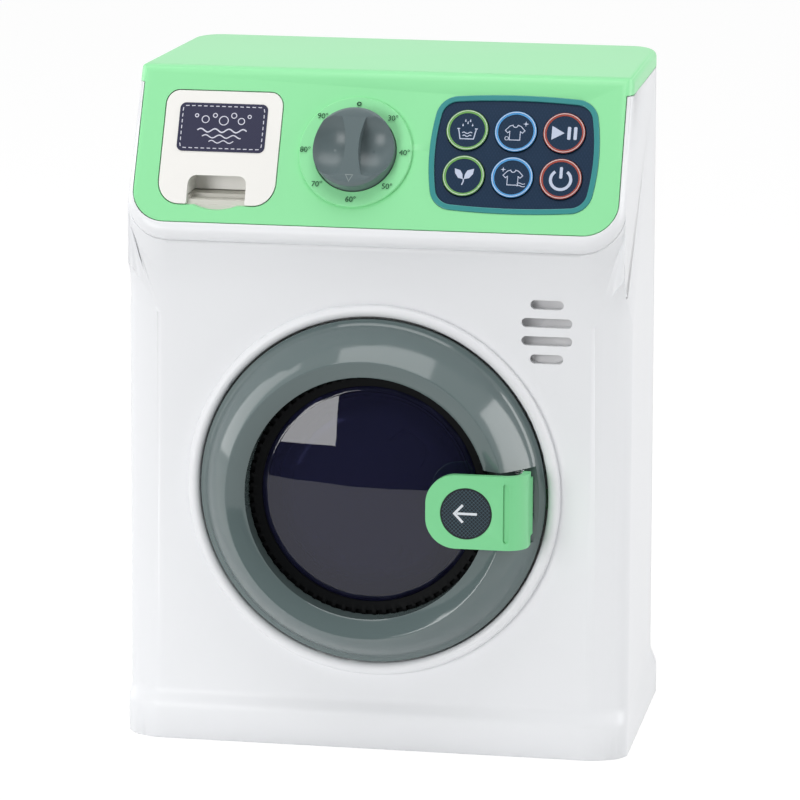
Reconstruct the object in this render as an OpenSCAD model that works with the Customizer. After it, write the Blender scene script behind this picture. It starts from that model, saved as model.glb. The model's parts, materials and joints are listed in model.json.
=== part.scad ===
// Toy washing machine: white two-part case on a flared foot, green control
// panel with a soap drawer, a dial and six buttons, and a round hinged door
// with a latch lever in front of a turning drum.
// Frame: X to the right, Y to the back, Z up, origin under the middle.

/* [Body] */
// Width of the body across its front
body_w = 209; // [204:1:216]
// Depth of the body behind its main front face
body_d = 124; // [122:1:132]
// Height of the body
body_h = 285; // [283:1:292]
// Wall of the case and of the control panel
wall = 2.4; // [2:0.2:2.8]
// Radius of the upright corners
corner_r = 14; // [11:1:17]
// Distance of the rear seam behind the main front face
seam_y = 108; // [106:0.5:110]
// Gap along the rear seam
seam_gap = 0.3; // [0.2:0.1:0.5]
// Radius of the edge all round the top
top_edge_r = 3; // [2:0.5:4]
// Height of the flared foot
foot_h = 22; // [18:1:26]
// How far the foot stands out of the body
foot_out = 2.7; // [2:0.1:3.5]
// Thickness of the base plate
base_t = 2.4; // [2:0.2:3]
// Height of the base plate above the ground
base_lift = 2; // [1:0.5:4]

/* [Head] */
// Angle of the fascia from the upright
fascia_tilt = 26.8; // [25:0.2:28]
// Height of the lower edge of the green fascia
head_z = 224; // [222:0.5:226]
// How far that edge stands in front of the main front face
head_out = 8; // [6.5:0.5:9]
// White band under the green fascia, before it turns under
lip_drop = 1.5; // [1:0.25:2.5]
// Radius of the edge round the head
nose_r = 5; // [4:0.5:5.5]
// Height where the cove under the head runs out
cove_z = 198; // [194:1:200]
// Radius of the lower corners of the head
head_corner_r = 18; // [16:1:20]
// Height over which the body's corners turn square under the head
flare_h = 21; // [19:1:23]
// Radius of the edge between fascia and top
crease_r = 6; // [5:0.5:7]

/* [Control panel] */
// White cheek left beside the green fascia
cheek_w = 2.8; // [2.4:0.1:3.4]
// Radius of the lower corners of the green fascia
panel_corner_r = 14; // [12:1:16]
// Height of the green skirt round the top
skirt_h = 7; // [6:0.5:9]
// Gap round the control panel
panel_gap = 0.4; // [0.3:0.05:0.6]
// Overlap of the ledges behind the joints
ledge_w = 4; // [3:0.5:5]
// Thickness of the ledges
ledge_t = 1.8; // [1.4:0.2:2.2]

/* [Dial] */
// Sideways place of the dial
dial_x = -9.2; // [-11:0.1:-8]
// Height of the dial up the fascia
dial_s = 32.2; // [31:0.1:34]
// Radius of the raised dial plate
dial_r = 23.8; // [22:0.1:25]
// Height of the raised dial plate
dial_h = 1.6; // [1.2:0.1:2.4]
// Radius of the knob
knob_r = 17.1; // [16:0.1:18]
// Height of the knob above the fascia
knob_h = 9.5; // [9:0.5:11]
// Width of the grip bar at its waist
grip_w = 5.6; // [5:0.2:8]
// Radius of the two hollows that waist the grip bar
grip_waist_r = 36; // [30:1:60]
// Gap round the knob
knob_gap = 0.4; // [0.3:0.05:0.6]
// Radius of the knob's spindle
spindle_r = 3; // [2.5:0.1:3.5]

/* [Keypad] */
// Sideways place of the keypad
keypad_x = 57; // [56:0.1:57.5]
// Height of the middle of the keypad up the fascia
keypad_s = 33.6; // [32:0.1:34]
// Width of the keypad
keypad_w = 70.6; // [68:0.1:72]
// Height of the keypad
keypad_l = 51.2; // [50:0.1:53]
// Radius of the corners of the keypad
keypad_r = 9.5; // [8:0.5:11]
// How far the sides of the keypad bow out
keypad_bow = 1.4; // [0.8:0.1:2]
// Width of the teal rim round the keypad
keypad_rim_w = 2.3; // [1.8:0.1:2.6]
// Depth of the keypad's pocket
keypad_pocket = 0.9; // [0.8:0.1:1.2]
// Thickness of the printed keypad sheet
keypad_sheet = 0.6; // [0.4:0.1:0.7]
// Radius of a button
button_r = 8.7; // [8:0.1:9]
// Distance between buttons, sideways
button_px = 20.2; // [19.6:0.1:21]
// Distance between buttons, up the fascia
button_ps = 19.8; // [19.4:0.1:21]
// How far a button goes in
button_travel = 0.8; // [0.6:0.1:1]
// Gap round a button
button_gap = 0.3; // [0.25:0.05:0.4]
// Width of the raised ring on a button
ring_w = 1.3; // [1:0.1:1.6]

/* [Soap drawer] */
// Left edge of the drawer front
drawer_x0 = -91.3; // [-92:0.1:-90]
// Width of the drawer front
drawer_w = 49.6; // [48:0.1:50.5]
// Height of the lower edge of the drawer front above the fascia's edge
drawer_z0 = 6.8; // [6:0.1:8]
// Upright height of the drawer front
drawer_l = 44.2; // [42:0.1:45]
// Radius of its upper corners
drawer_top_r = 5.5; // [4:0.5:7]
// Radius of its lower corners
drawer_low_r = 9; // [7:0.5:10]
// Thickness of the drawer front
drawer_t = 2.4; // [2:0.2:3]
// Gap round the drawer
drawer_gap = 0.4; // [0.35:0.05:0.5]
// Wall of the drawer tray and of its housing
tray_t = 1.6; // [1.4:0.1:2]
// Depth of the drawer tray
tray_d = 50; // [44:1:56]
// Height of the tray walls
tray_h = 27; // [22:1:30]
// Width of the finger notch
notch_w = 24.7; // [22:0.1:27]
// Height of the finger notch
notch_l = 11.2; // [10:0.2:12]
// Radius of the notch's corners
notch_r = 3.5; // [2.5:0.5:5]
// How far the drawer slides out
drawer_travel = 36; // [30:1:40]
// Half width of the scoop below the notch
scoop_x = 10; // [9:0.5:11]
// Depth of the scoop below the notch
scoop_drop = 2.2; // [1.8:0.1:2.6]

/* [Door] */
// Height of the middle of the door
door_z = 111.5; // [110:0.5:113]
// Radius of the opening for the door
door_hole_r = 74; // [73:0.1:74.6]
// Gap round the door
door_gap = 0.8; // [0.6:0.1:1]
// Radius of the rounded collar's section
collar_r = 2.6; // [2.2:0.1:3]
// Height of the collar's middle above the front
collar_lift = 0.9; // [0.6:0.1:1.4]
// Radius of the crest of the door ring
crest_r = 58.8; // [58:0.1:60]
// How far the crest stands out
crest_z = 21.4; // [20:0.2:23]
// Radius of the ring's inner lip
lip_r = 51.4; // [50.5:0.1:52]
// How far the lip stands out
lip_z = 17.4; // [16:0.2:18]
// Radius where the ring's rim band meets the slope
band_r = 70.8; // [70:0.1:71]
// How far that place stands out
band_z = 4.8; // [4.6:0.1:5]
// Bulge of the slope between band and crest
slope_bulge = 0.7; // [0.4:0.1:1.5]
// Skin of the door ring
skin = 2; // [1.8:0.1:2.2]
// Free radius of the window
window_r = 46; // [44:0.5:47]
// Height of the window's dome
window_dome = 4; // [3:0.5:5]
// Thickness of the window
window_t = 2; // [1.6:0.1:2.4]
// Number of slots in the inner ring
slot_n = 72; // [36:4:80]
// Sideways place of the hinge pin
hinge_x = -63; // [-63.5:0.25:-62.5]
// Place of the hinge pin in front of the main front face
hinge_out = 4; // [3.5:0.1:4.5]
// Radius of the hinge pin
hinge_pin_r = 1.2; // [1:0.1:1.3]
// Half of the distance between the hinge arms
hinge_half = 8.5; // [8:0.5:9]
// Running clearance of pins and shafts in their holes
run_gap = 0.05; // [0.03:0.01:0.08]

/* [Handle] */
// Height of the handle's middle from the door's middle
handle_dz = -1.6; // [-3:0.1:0]
// Left end of the handle
handle_x0 = 26.6; // [25:0.1:30]
// Right end of the handle
handle_x1 = 68.4; // [67.5:0.1:69]
// Height of the handle
handle_l = 31; // [28:0.5:33]
// Corner radius of its free end
handle_r = 12.5; // [11:0.5:13]
// How far the handle's front stands out
handle_z = 25.6; // [25:0.1:27]
// Thickness of the handle
handle_t = 3; // [2.6:0.1:3.2]
// Radius of the bend of the handle
handle_bend = 9; // [8:0.5:10]
// Gap between the handle and its pocket
handle_gap = 0.6; // [0.5:0.05:0.8]
// Radius of the round badge on the handle
badge_r = 10.7; // [9.5:0.1:11.5]
// Sideways place of the latch pin
latch_x = 63; // [62.5:0.1:63.5]
// How far the latch pin stands out
latch_z = 8.5; // [8:0.1:9]
// Radius of the latch pin
latch_pin_r = 1.25; // [1.1:0.05:1.4]
// Width of the latch hook
hook_w = 8; // [6:0.5:10]

/* [Speaker] */
// Sideways place of the speaker
speaker_x = 72.5; // [70:0.5:74]
// Height of the middle of the speaker slots
speaker_z = 181.6; // [180:0.5:183]
// Distance between the speaker slots
speaker_pitch = 7.6; // [7.4:0.1:8]
// Height of a speaker slot
speaker_slot_h = 3.9; // [3:0.1:4]
// Length of the two middle slots
speaker_long = 21.2; // [19:0.1:22]
// Length of the outer slots
speaker_short = 13.9; // [12:0.1:15]
// Radius of the speaker
speaker_r = 16.5; // [15.5:0.5:17]

/* [Drum] */
// Radius of the drum
drum_r = 54; // [50:1:56]
// Place of the drum's mouth behind the front
drum_y0 = 15; // [14.5:0.5:17]
// Length of the drum
drum_l = 58; // [54:1:59]
// Wall of the drum
drum_t = 1.8; // [1.6:0.1:2.2]
// Number of holes round the drum
drum_holes = 18; // [12:3:24]
// Radius of the mouth in the tub front
mouth_r = 52; // [49:0.5:53]
// Place of the tub front behind the front
tub_y = 9; // [8.8:0.1:9.6]
// Radius of the drum shaft
shaft_r = 3; // [2.5:0.1:3.5]

/* [Drive] */
// Module of the gear teeth
gear_m = 1; // [0.9:0.05:1.05]
// Number of teeth on a large gear
teeth_big = 36; // [32:4:40]
// Number of teeth on a pinion
teeth_small = 12; // [12:1:14]
// Backlash between the teeth
backlash = 0.3; // [0.2:0.05:0.4]
// Place of the gear frame behind the front
frame_y = 77; // [76.5:0.5:78]
// Thickness of the gear frame
frame_t = 2.5; // [2:0.25:3]
// Width of the drum gear
gear_w = 5; // [4:0.5:5]
// Width of the motor's gear
gear_w2 = 4; // [3:0.5:4.5]
// Radius of the motor
motor_r = 10; // [9:0.5:10.5]
// Length of the motor
motor_l = 23; // [20:0.5:23.5]

/* [Power] */
// Diameter of a battery cell
cell_d = 14.5; // [14:0.1:14.5]
// Length of a battery cell
cell_l = 50.5; // [49:0.5:51]
// Number of battery cells
cell_n = 3; // [2:1:3]
// Sideways place of the battery box
battery_x = -50; // [-52:1:-46]
// Height of the foot of the battery box
battery_z = 36; // [34:1:44]
// Sideways place of the power switch
switch_x = 45; // [40:1:52]
// Height of the power switch
switch_z = 60; // [50:1:70]
// Travel of the power switch
switch_travel = 4; // [3:0.5:5]

/* [Hidden] */
$fn = 64;
eps = 0.01;
far = 400;

// The front face of the body is set so that the origin lies under the middle
front_reach = max(handle_z, head_out + nose_r);
front = (front_reach - body_d - foot_out) / 2;
front_c = [body_w / 2 - corner_r, corner_r];
back_c = [body_w / 2 - corner_r, body_d - corner_r];
slope_dir = [sin(fascia_tilt), cos(fascia_tilt)];
slope_out = [-cos(fascia_tilt), sin(fascia_tilt)];
top_s = (body_h - head_z) / slope_dir.y;
crease_pt = [-head_out + top_s * slope_dir.x, body_h];
crease_run = crease_r * tan((90 - fascia_tilt) / 2);
head_s0 = -lip_drop - nose_r;
corner_s = head_s0 + head_corner_r;
corner_x = body_w / 2 - head_corner_r;
nose_c = [-head_out, head_z] - lip_drop * slope_dir - nose_r * slope_out;
cove_r = (nose_c.x * nose_c.x + (nose_c.y - cove_z) * (nose_c.y - cove_z) - nose_r * nose_r)
  / (2 * (nose_r - nose_c.x));
panel_w = body_w - 2 * cheek_w;
skirt_z = body_h - skirt_h;
base_z = base_lift + base_t;
handle_y = handle_dz;
clear = 0.35;

// Frames of reference

// Origin on the main front face
module at_front() { translate([0, front, 0]) children(); }

// X to the right, Y up the fascia, Z out of the fascia
module on_fascia() {
  translate([0, front - head_out, head_z]) rotate([90 - fascia_tilt, 0, 0]) children();
}

// X to the right, Y up, Z out of the front, origin at the middle of the door
module on_door() { translate([0, front, door_z]) rotate([90, 0, 0]) children(); }

// Shape in X and Z, drawn out towards the front from y1 to y0
module across(y0, y1) {
  translate([0, front + y1, 0]) rotate([90, 0, 0]) linear_extrude(y1 - y0) children();
}

function fascia_pt(x, s, n) =
  [x, front - head_out + s * slope_dir.x + n * slope_out.x, head_z + s * slope_dir.y + n * slope_out.y];

// Outline helpers

// Rectangle with its own radius at the upper and lower corners, centred sideways
module plate2d(w, y0, y1, r_low, r_top) {
  h = w / 2;
  polygon([[-h, y0 + r_low], [-h + r_low, y0], [h - r_low, y0], [h, y0 + r_low],
    [h, y1 - r_top], [h - r_top, y1], [-h + r_top, y1], [-h, y1 - r_top]]);
  for (s = [-1, 1]) {
    translate([s * (h - r_low), y0 + r_low]) circle(r_low);
    translate([s * (h - r_top), y1 - r_top]) circle(r_top);
  }
}

// Rounded slot that lies sideways
module slot2d(len, h) {
  square([len - h, h], center = true);
  for (s = [-1, 1]) translate([s * (len - h) / 2, 0]) circle(h / 2);
}

// Ring between two radii
module tube(r1, r0, h) {
  difference() {
    cylinder(r = r1, h = h);
    translate([0, 0, -1]) cylinder(r = r0, h = h + 2);
  }
}

// Case form

// Plan of the body, drawn in by inset
module plan(inset = 0) {
  r = corner_r - inset;
  half = [front_c - [0, r], front_c + [r, 0], back_c + [r, 0], back_c + [0, r]];
  polygon(concat(half, [for (i = [3:-1:0]) [-half[i].x, half[i].y]]));
  for (c = [front_c, back_c], s = [-1, 1]) translate([s * c.x, c.y]) circle(r);
}

// A profile, X outwards and Y up, carried round the plan of the body
module round_plan() {
  for (m = [0, 1]) mirror([m, 0, 0]) {
    translate([front_c.x, front_c.y, 0]) rotate([0, 0, -90])
      rotate_extrude(angle = 90) translate([corner_r, 0]) children();
    translate([back_c.x, back_c.y, 0])
      rotate_extrude(angle = 90) translate([corner_r, 0]) children();
    translate([front_c.x + corner_r, front_c.y, 0]) run(back_c.y - front_c.y) children();
  }
  translate([-front_c.x, front_c.y - corner_r, 0]) rotate([0, 0, -90]) run(2 * front_c.x) children();
  translate([back_c.x, back_c.y + corner_r, 0]) rotate([0, 0, 90]) run(2 * back_c.x) children();
}

// A profile drawn out along Y
module run(len) { rotate([90, 0, 0]) translate([0, 0, -len]) linear_extrude(len) children(); }

// Cutter that rounds an outer edge, the corner of the edge at the origin
module edge2d(r) {
  difference() {
    translate([-r, -r]) square(r + 1);
    translate([-r, -r]) circle(r);
  }
}

// Everything behind the fascia's plane
module behind_fascia(inset) {
  on_fascia() translate([-far / 2, -far, -far - inset]) cube([far, 2 * far, far]);
}

// Outline of the head in the fascia's plane
module head2d(inset) {
  w = body_w / 2 - inset;
  r = head_corner_r - inset;
  y0 = head_s0 + inset;
  polygon([[-w, y0 + r], [-w + r, y0], [w - r, y0], [w, y0 + r], [w, top_s + 20], [-w, top_s + 20]]);
  for (s = [-1, 1]) translate([s * (w - r), y0 + r]) circle(r);
}

// Space between the sides of the body, to trim the head
module side_planes(inset) {
  w = body_w / 2 - inset;
  at_front() translate([-w, -20, 0]) cube([2 * w, 80, body_h - inset]);
}

// Filling of the cove between the head and the front, in Y and Z
module cove2d() {
  to_cove = [-cove_r, cove_z] - nose_c;
  touch = nose_c + nose_r * to_cove / norm(to_cove);
  difference() {
    polygon([touch, nose_c, [nose_r, nose_c.y], [nose_r, cove_z], [0, cove_z]]);
    translate([-cove_r, cove_z]) circle(cove_r, $fn = 96);
  }
}

// The same filling as seen from the turning point of the head's corner
module cove_at() {
  translate([corner_s, 0]) rotate(90 - fascia_tilt) mirror([1, 0]) translate([head_out, -head_z]) cove2d();
}

// The head: a block behind the fascia with a rounded edge and a cove
module head_block(inset) {
  depth = 50;
  intersection() {
    union() {
      on_fascia() translate([0, 0, -depth]) linear_extrude(depth - inset) head2d(inset);
      if (inset == 0) {
        on_fascia() translate([-corner_x, corner_s, 0]) rotate([0, 0, -90]) run(2 * corner_x) cove_at();
        for (s = [0, 1]) mirror([s, 0, 0]) on_fascia() translate([corner_x, corner_s, 0])
          rotate([0, 0, -90]) rotate_extrude(angle = 90) cove_at();
      }
    }
    side_planes(inset);
  }
}

// Filling of the body's corner, which turns square below the head
module corner_flare() {
  steps = 10;
  z1 = cove_z + 7;
  z0 = z1 - flare_h;
  reach = corner_r * 0.44;
  arc_r = (reach * reach + flare_h * flare_h) / (2 * reach);
  intersection() {
    union() {
      for (m = [-1, 1]) translate([m * front_c.x, front + front_c.y, 0]) rotate_extrude()
        polygon(concat([[0, z0], [corner_r, z0]], [for (i = [1:steps]) let (h = flare_h * i / steps)
          [corner_r + arc_r - sqrt(arc_r * arc_r - h * h), z0 + h]],
          [[corner_r + reach, body_h], [0, body_h]]));
    }
    between_y(0, 40);
    side_planes(0);
    behind_fascia(0);
  }
}

// Cutter for the rounded edge round the fascia
module head_edge() {
  on_fascia() {
    translate([-corner_x, head_s0, 0]) rotate([0, 0, -90]) run(2 * corner_x) edge2d(nose_r);
    for (m = [0, 1]) mirror([m, 0, 0]) {
      translate([corner_x, corner_s, 0]) rotate([0, 0, -90]) rotate_extrude(angle = 90)
        translate([head_corner_r, 0]) edge2d(nose_r);
      translate([body_w / 2, corner_s, 0]) run(top_s - corner_s + 10) edge2d(nose_r);
    }
  }
}

// Cutter for the edge between fascia and top
module crease_edge() {
  c = crease_pt + [crease_run, -crease_r];
  at_front() translate([-far / 2, 0, 0]) rotate([90, 0, 90]) linear_extrude(far) difference() {
    polygon([crease_pt + [-1, 0.5], crease_pt + [crease_run, 0.5], c, crease_pt - crease_run * slope_dir
      + slope_out * 0.5]);
    translate(c) circle(crease_r);
  }
}

// Outer form of the whole case at inset 0, its hollow at a larger inset
module form(inset) {
  z0 = inset == 0 ? 0 : -1;
  difference() {
    union() {
      intersection() {
        at_front() translate([0, 0, z0]) linear_extrude(body_h - inset - z0) plan(inset);
        behind_fascia(inset);
      }
      head_block(inset);
      if (inset == 0) corner_flare();
    }
    if (inset == 0) {
      head_edge();
      crease_edge();
      at_front() translate([0, 0, body_h]) round_plan() edge2d(top_edge_r);
    }
  }
}

// Flared foot round the body
module foot() {
  steps = 8;
  rise = foot_h * 0.4;
  at_front() round_plan() polygon(concat(
    [[-wall / 2, 0], [foot_out - 0.6, 0], [foot_out, 0.8], [foot_out, foot_h - rise]],
    [for (i = [1:steps]) [foot_out * (1 + cos(180 * i / steps)) / 2, foot_h - rise + rise * i / steps]],
    [[-wall / 2, foot_h]]));
}

// The case as one skin, before it is parted
module skin_all() {
  difference() {
    union() {
      form(0);
      foot();
    }
    form(wall);
  }
}

// Strip of material just inside the case, between two insets
module inner_strip(a, b) {
  difference() {
    form(a);
    form(b);
  }
}

// Slab between two heights
module between_z(z0, z1) { translate([-far / 2, -far / 2, z0]) cube([far, far, z1 - z0]); }

// Slab between two depths behind the front
module between_y(y0, y1) { translate([-far / 2, front + y0, -far / 2]) cube([far, y1 - y0, 2 * far]); }

// Outline of the green fascia, grown by g
module panel2d(g) {
  w = panel_w / 2 + g;
  r = panel_corner_r + g;
  polygon([[-w, r - g], [-w + r, -g], [w - r, -g], [w, r - g], [w, top_s + 20], [-w, top_s + 20]]);
  for (s = [-1, 1]) translate([s * (w - r), r - g]) circle(r);
}

// Space that the control panel takes up in the case, grown by g
module panel_zone(g) {
  on_fascia() translate([0, 0, -12]) linear_extrude(40) panel2d(g);
  between_z(skirt_z - g, body_h + 20);
}

// Places of screws and posts

post_r = 4;
post_spots = [for (z = [34, 150, 240], s = [-1, 1]) [s * (body_w / 2 - corner_r - 2), z]];
base_spots = [for (x = [-1, 1], y = [24, 98]) [x * (body_w / 2 - 26), y]];
tub_spots = [for (a = [45, 135, 225, 315]) [(door_hole_r + 6) * cos(a), door_z + (door_hole_r + 6) * sin(a)]];
frame_spots = [for (x = [-1, 1], z = [-1, 1]) [x * 84, door_z + z * 52]];
panel_spots = [for (x = [-1, 1]) [x * (panel_w / 2 - 2.1), 46]];
screw_r = 1.5;
hole_r = 1.75;

// A self-tapping screw: its head at the origin, its shank along +Z
module screw(len, head_r = 2.8) {
  difference() {
    translate([0, 0, -2]) cylinder(r = head_r, h = 2);
    translate([0, 0, -2 - eps]) cylinder(r = 1.5, h = 1.2, $fn = 6);
  }
  cylinder(r = screw_r, h = len - 2);
  translate([0, 0, len - 2]) cylinder(r1 = screw_r, r2 = 0.5, h = 2, $fn = 24);
}

// Case parts

// White front of the case, with sides, head and door collar
module front_shell() {
  post_l = 26;
  color("white") difference() {
    union() {
      difference() {
        intersection() {
          skin_all();
          between_y(-30, seam_y);
        }
        panel_zone(panel_gap);
      }
      // Ledge behind the fascia joint
      intersection() {
        union() {
          difference() {
            inner_strip(wall - 0.2, wall + ledge_t);
            panel_zone(panel_gap);
          }
          inner_strip(wall + 0.1, wall + ledge_t);
        }
        on_fascia() translate([0, 0, -12]) linear_extrude(24) difference() {
          panel2d(ledge_w - 1.5);
          panel2d(-ledge_w);
        }
        between_y(-30, 30);
        between_z(head_z - 12, skirt_z - 1);
      }
      // Tongue inside the skirt of the control panel
      intersection() {
        union() {
          intersection() {
            inner_strip(wall - 0.2, wall + ledge_t);
            between_z(skirt_z - 5, skirt_z - panel_gap);
          }
          inner_strip(wall + 0.15, wall + ledge_t);
        }
        between_z(skirt_z - 5, skirt_z + 3);
        between_y(24, seam_y);
      }
      // Ledge over the base plate
      intersection() {
        inner_strip(wall - 0.2, wall + 3);
        between_z(base_z + 0.1, base_z + 2.1);
        between_y(0, seam_y);
      }
      // Collar and well of the door
      on_door() {
        rotate_extrude() translate([door_hole_r + collar_r, collar_lift]) circle(collar_r);
        translate([0, 0, -tub_y + 0.2]) tube(door_hole_r + wall, door_hole_r, tub_y + 0.5);
        for (p = tub_spots) translate([p.x, p.y - door_z, -tub_y]) cylinder(r = post_r, h = tub_y - 1);
      }
      // Posts at the rear seam, each with a rib to the side
      for (p = post_spots) {
        translate([p.x, front + seam_y, p.y]) rotate([90, 0, 0]) cylinder(r = post_r, h = post_l);
        intersection() {
          translate([p.x > 0 ? p.x : p.x - 24, front + seam_y - post_l, p.y - 1]) cube([24, post_l - 3.4, 2]);
          form(wall - 0.2);
        }
      }
      // Posts that carry the gear frame
      for (p = frame_spots) translate([p.x, front + frame_y, p.y]) rotate([90, 0, 0])
        cylinder(r = post_r, h = frame_y - 1);
      // Posts over the base plate, each with a rib to the side
      for (p = base_spots) {
        translate([p.x, front + p.y, base_z + 0.1]) cylinder(r = post_r, h = 14);
        intersection() {
          translate([p.x > 0 ? p.x : p.x - 30, front + p.y - 1, base_z + 0.1]) cube([30, 2, 12]);
          form(wall - 0.2);
        }
      }
      // Ring that locates the speaker
      translate([speaker_x, front + 8, speaker_z]) rotate([90, 0, 0]) tube(speaker_r + 2, speaker_r + clear, 7);
    }
    // Opening of the door
    on_door() translate([0, 0, -tub_y - 1]) cylinder(r = door_hole_r, h = tub_y + 20);
    // Speaker slots
    for (i = [-1.5:1:1.5]) translate([speaker_x, front + wall + 1, speaker_z + i * speaker_pitch])
      rotate([90, 0, 0]) linear_extrude(wall + 6)
        slot2d(abs(i) > 1 ? speaker_short : speaker_long, speaker_slot_h);
    // Screw holes
    for (p = post_spots) translate([p.x, front + seam_y + 1, p.y]) rotate([90, 0, 0])
      cylinder(r = screw_r, h = 20);
    for (p = frame_spots) translate([p.x, front + frame_y + 1, p.y]) rotate([90, 0, 0])
      cylinder(r = screw_r, h = 16);
    for (p = tub_spots) translate([p.x, front + tub_y + 1, p.y]) rotate([90, 0, 0])
      cylinder(r = screw_r, h = tub_y - 1);
    for (p = base_spots) translate([p.x, front + p.y, 0]) cylinder(r = screw_r, h = base_z + 12);
    for (p = panel_spots) on_fascia() translate([p.x, p.y, -14]) {
      cylinder(r = hole_r, h = 14 - wall + 0.1);
      cylinder(r = 2.45, h = 14 - wall - ledge_t);
    }
  }
}

// White back of the case
module rear_shell() {
  y0 = seam_y + seam_gap;
  color("white") difference() {
    union() {
      difference() {
        intersection() {
          skin_all();
          between_y(y0, body_d + 10);
        }
        panel_zone(panel_gap);
      }
      // Tongue inside the front shell
      intersection() {
        union() {
          intersection() {
            inner_strip(wall - 0.2, wall + ledge_t);
            between_y(y0, y0 + 6);
          }
          inner_strip(wall + 0.2, wall + ledge_t);
        }
        between_y(seam_y - 3, y0 + 6);
        between_z(base_z + 4, skirt_z - 6);
      }
      // Tongue inside the skirt of the control panel
      intersection() {
        union() {
          intersection() {
            inner_strip(wall - 0.2, wall + ledge_t);
            between_z(skirt_z - 6.2, skirt_z - panel_gap);
          }
          inner_strip(wall + 0.15, wall + ledge_t);
        }
        between_z(skirt_z - 6.2, skirt_z + 3);
        between_y(y0, body_d);
      }
      // Ledge over the base plate
      intersection() {
        inner_strip(wall - 0.2, wall + 3);
        between_z(base_z + 0.1, base_z + 4.2);
        between_y(y0, body_d);
      }
      for (p = post_spots) translate([p.x, front + body_d - 1, p.y]) rotate([90, 0, 0])
        cylinder(r = post_r, h = body_d - 1 - y0);
    }
    for (p = post_spots) translate([p.x, front + body_d + 1, p.y]) rotate([90, 0, 0]) {
      cylinder(r = hole_r, h = 40);
      cylinder(r = 3.2, h = 9);
    }
    battery_opening(panel_gap);
    // Slot for the power switch
    across(body_d - wall - 1, body_d + 1) translate([switch_x, switch_z]) slot2d(switch_travel + 9, 5);
    for (s = [-1, 1]) translate([switch_x + s * 9.5, front + body_d - wall + 1.2, switch_z]) rotate([90, 0, 0])
      cylinder(r = 1, h = 3);
    translate([battery_x, front + body_d + 1, battery_top + 4]) rotate([90, 0, 0]) cylinder(r = screw_r, h = 14);
  }
}

// White plate that closes the case from below
module base_plate() {
  color("whitesmoke") difference() {
    intersection() {
      at_front() translate([0, 0, base_lift]) linear_extrude(base_t) plan(wall + clear);
      between_y(0, body_d);
    }
    for (p = base_spots) translate([p.x, front + p.y, -1]) {
      cylinder(r = hole_r, h = 20);
      cylinder(r = 3.2, h = base_lift + 2.2);
    }
    // Vents under the drive
    for (i = [-2:2]) translate([i * 9, front + body_d / 2, -1]) linear_extrude(20) rotate(90) slot2d(30, 3);
  }
}

// Control panel

dial_floor = 1;

// Green fascia and top in one piece
module control_panel() {
  color("lightgreen") difference() {
    union() {
      intersection() {
        skin_all();
        panel_zone(0);
      }
      on_fascia() translate([dial_x, dial_s, -0.5]) {
        cylinder(r = dial_r, h = dial_h + 0.1);
        translate([0, 0, dial_h + 0.1]) cylinder(r1 = dial_r, r2 = dial_r - 0.4, h = 0.4, $fn = 96);
      }
      // Posts of the main board, the drawer housing and the panel screws
      on_fascia() {
        for (p = board_spots) translate([p.x, p.y, board_n]) cylinder(r = 3, h = -board_n - 1);
        for (p = panel_spots) translate([p.x, p.y, -wall - 0.1 + eps]) cylinder(r = 2.3, h = 1);
      }
    }
    on_fascia() {
      translate([dial_x, dial_s, -dial_floor]) cylinder(r = knob_r + knob_gap, h = 10);
      translate([dial_x, dial_s, -10]) cylinder(r = spindle_r + 0.6, h = 20);
      translate([0, 0, -keypad_pocket]) linear_extrude(5) keypad2d(0.1);
      for (b = button_spots) translate([b.x, b.y, -10]) cylinder(r = button_r + button_gap, h = 20);
      for (p = board_spots) translate([p.x, p.y, board_n - 1]) cylinder(r = 1.2, h = 8);
      for (p = panel_spots) translate([p.x, p.y, -wall - 1]) cylinder(r = 1.2, h = 2.6);
    }
    // Drawer opening, cut straight back
    across(-20, 40) drawer2d(drawer_gap);
    across(-20, 40) intersection() {
      translate([drawer_cx, head_z + drawer_z0 - scoop_drop + scoop_cr]) circle(scoop_cr);
      translate([drawer_cx, head_z + drawer_z0]) square([drawer_w, 12], center = true);
    }
  }
}

// Keypad

button_spots = [for (j = [0, 1], i = [-1:1]) [keypad_x + i * button_px, keypad_s + (0.5 - j) * button_ps]];
sheet_n = -keypad_pocket;

// Radius of a bowed side that meets corners of radius r
function bow_r(r, reach, half, other) = (r * r - pow(reach - half, 2) - other * other) / (2 * (half - reach + r));

// Rectangle with bowed sides and round corners
module bowed2d(w, h, r, bow) {
  c = [w / 2 - bow - r, h / 2 - bow * 0.7 - r];
  rx = bow_r(r, w / 2, c.x, c.y);
  ry = bow_r(r, h / 2, c.y, c.x);
  polygon([[-c.x, -c.y], [c.x, -c.y], [c.x, c.y], [-c.x, c.y]]);
  for (x = [-1, 1], y = [-1, 1]) translate([x * c.x, y * c.y]) circle(r);
  for (m = [0, 1]) mirror([m, 0]) {
    bx = w / 2 - rx;
    u = [c.x - bx, c.y] / norm([c.x - bx, c.y]);
    intersection() {
      translate([bx, 0]) circle(rx, $fn = 128);
      polygon([[0, -c.y], [c.x, -c.y], [c.x + u.x * 2 * r, -c.y - u.y * 2 * r],
        [c.x + u.x * 2 * r, c.y + u.y * 2 * r], [c.x, c.y], [0, c.y]]);
    }
  }
  for (m = [0, 1]) mirror([0, m]) {
    by = h / 2 - ry;
    u = [c.x, c.y - by] / norm([c.x, c.y - by]);
    intersection() {
      translate([0, by]) circle(ry, $fn = 128);
      polygon([[-c.x, 0], [-c.x, c.y], [-c.x - u.x * 2 * r, c.y + u.y * 2 * r],
        [c.x + u.x * 2 * r, c.y + u.y * 2 * r], [c.x, c.y], [c.x, 0]]);
    }
  }
}

// Outline of the keypad, grown by g
module keypad2d(g) {
  translate([keypad_x, keypad_s]) bowed2d(keypad_w + 2 * g, keypad_l + 2 * g, keypad_r + g, keypad_bow);
}

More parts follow.
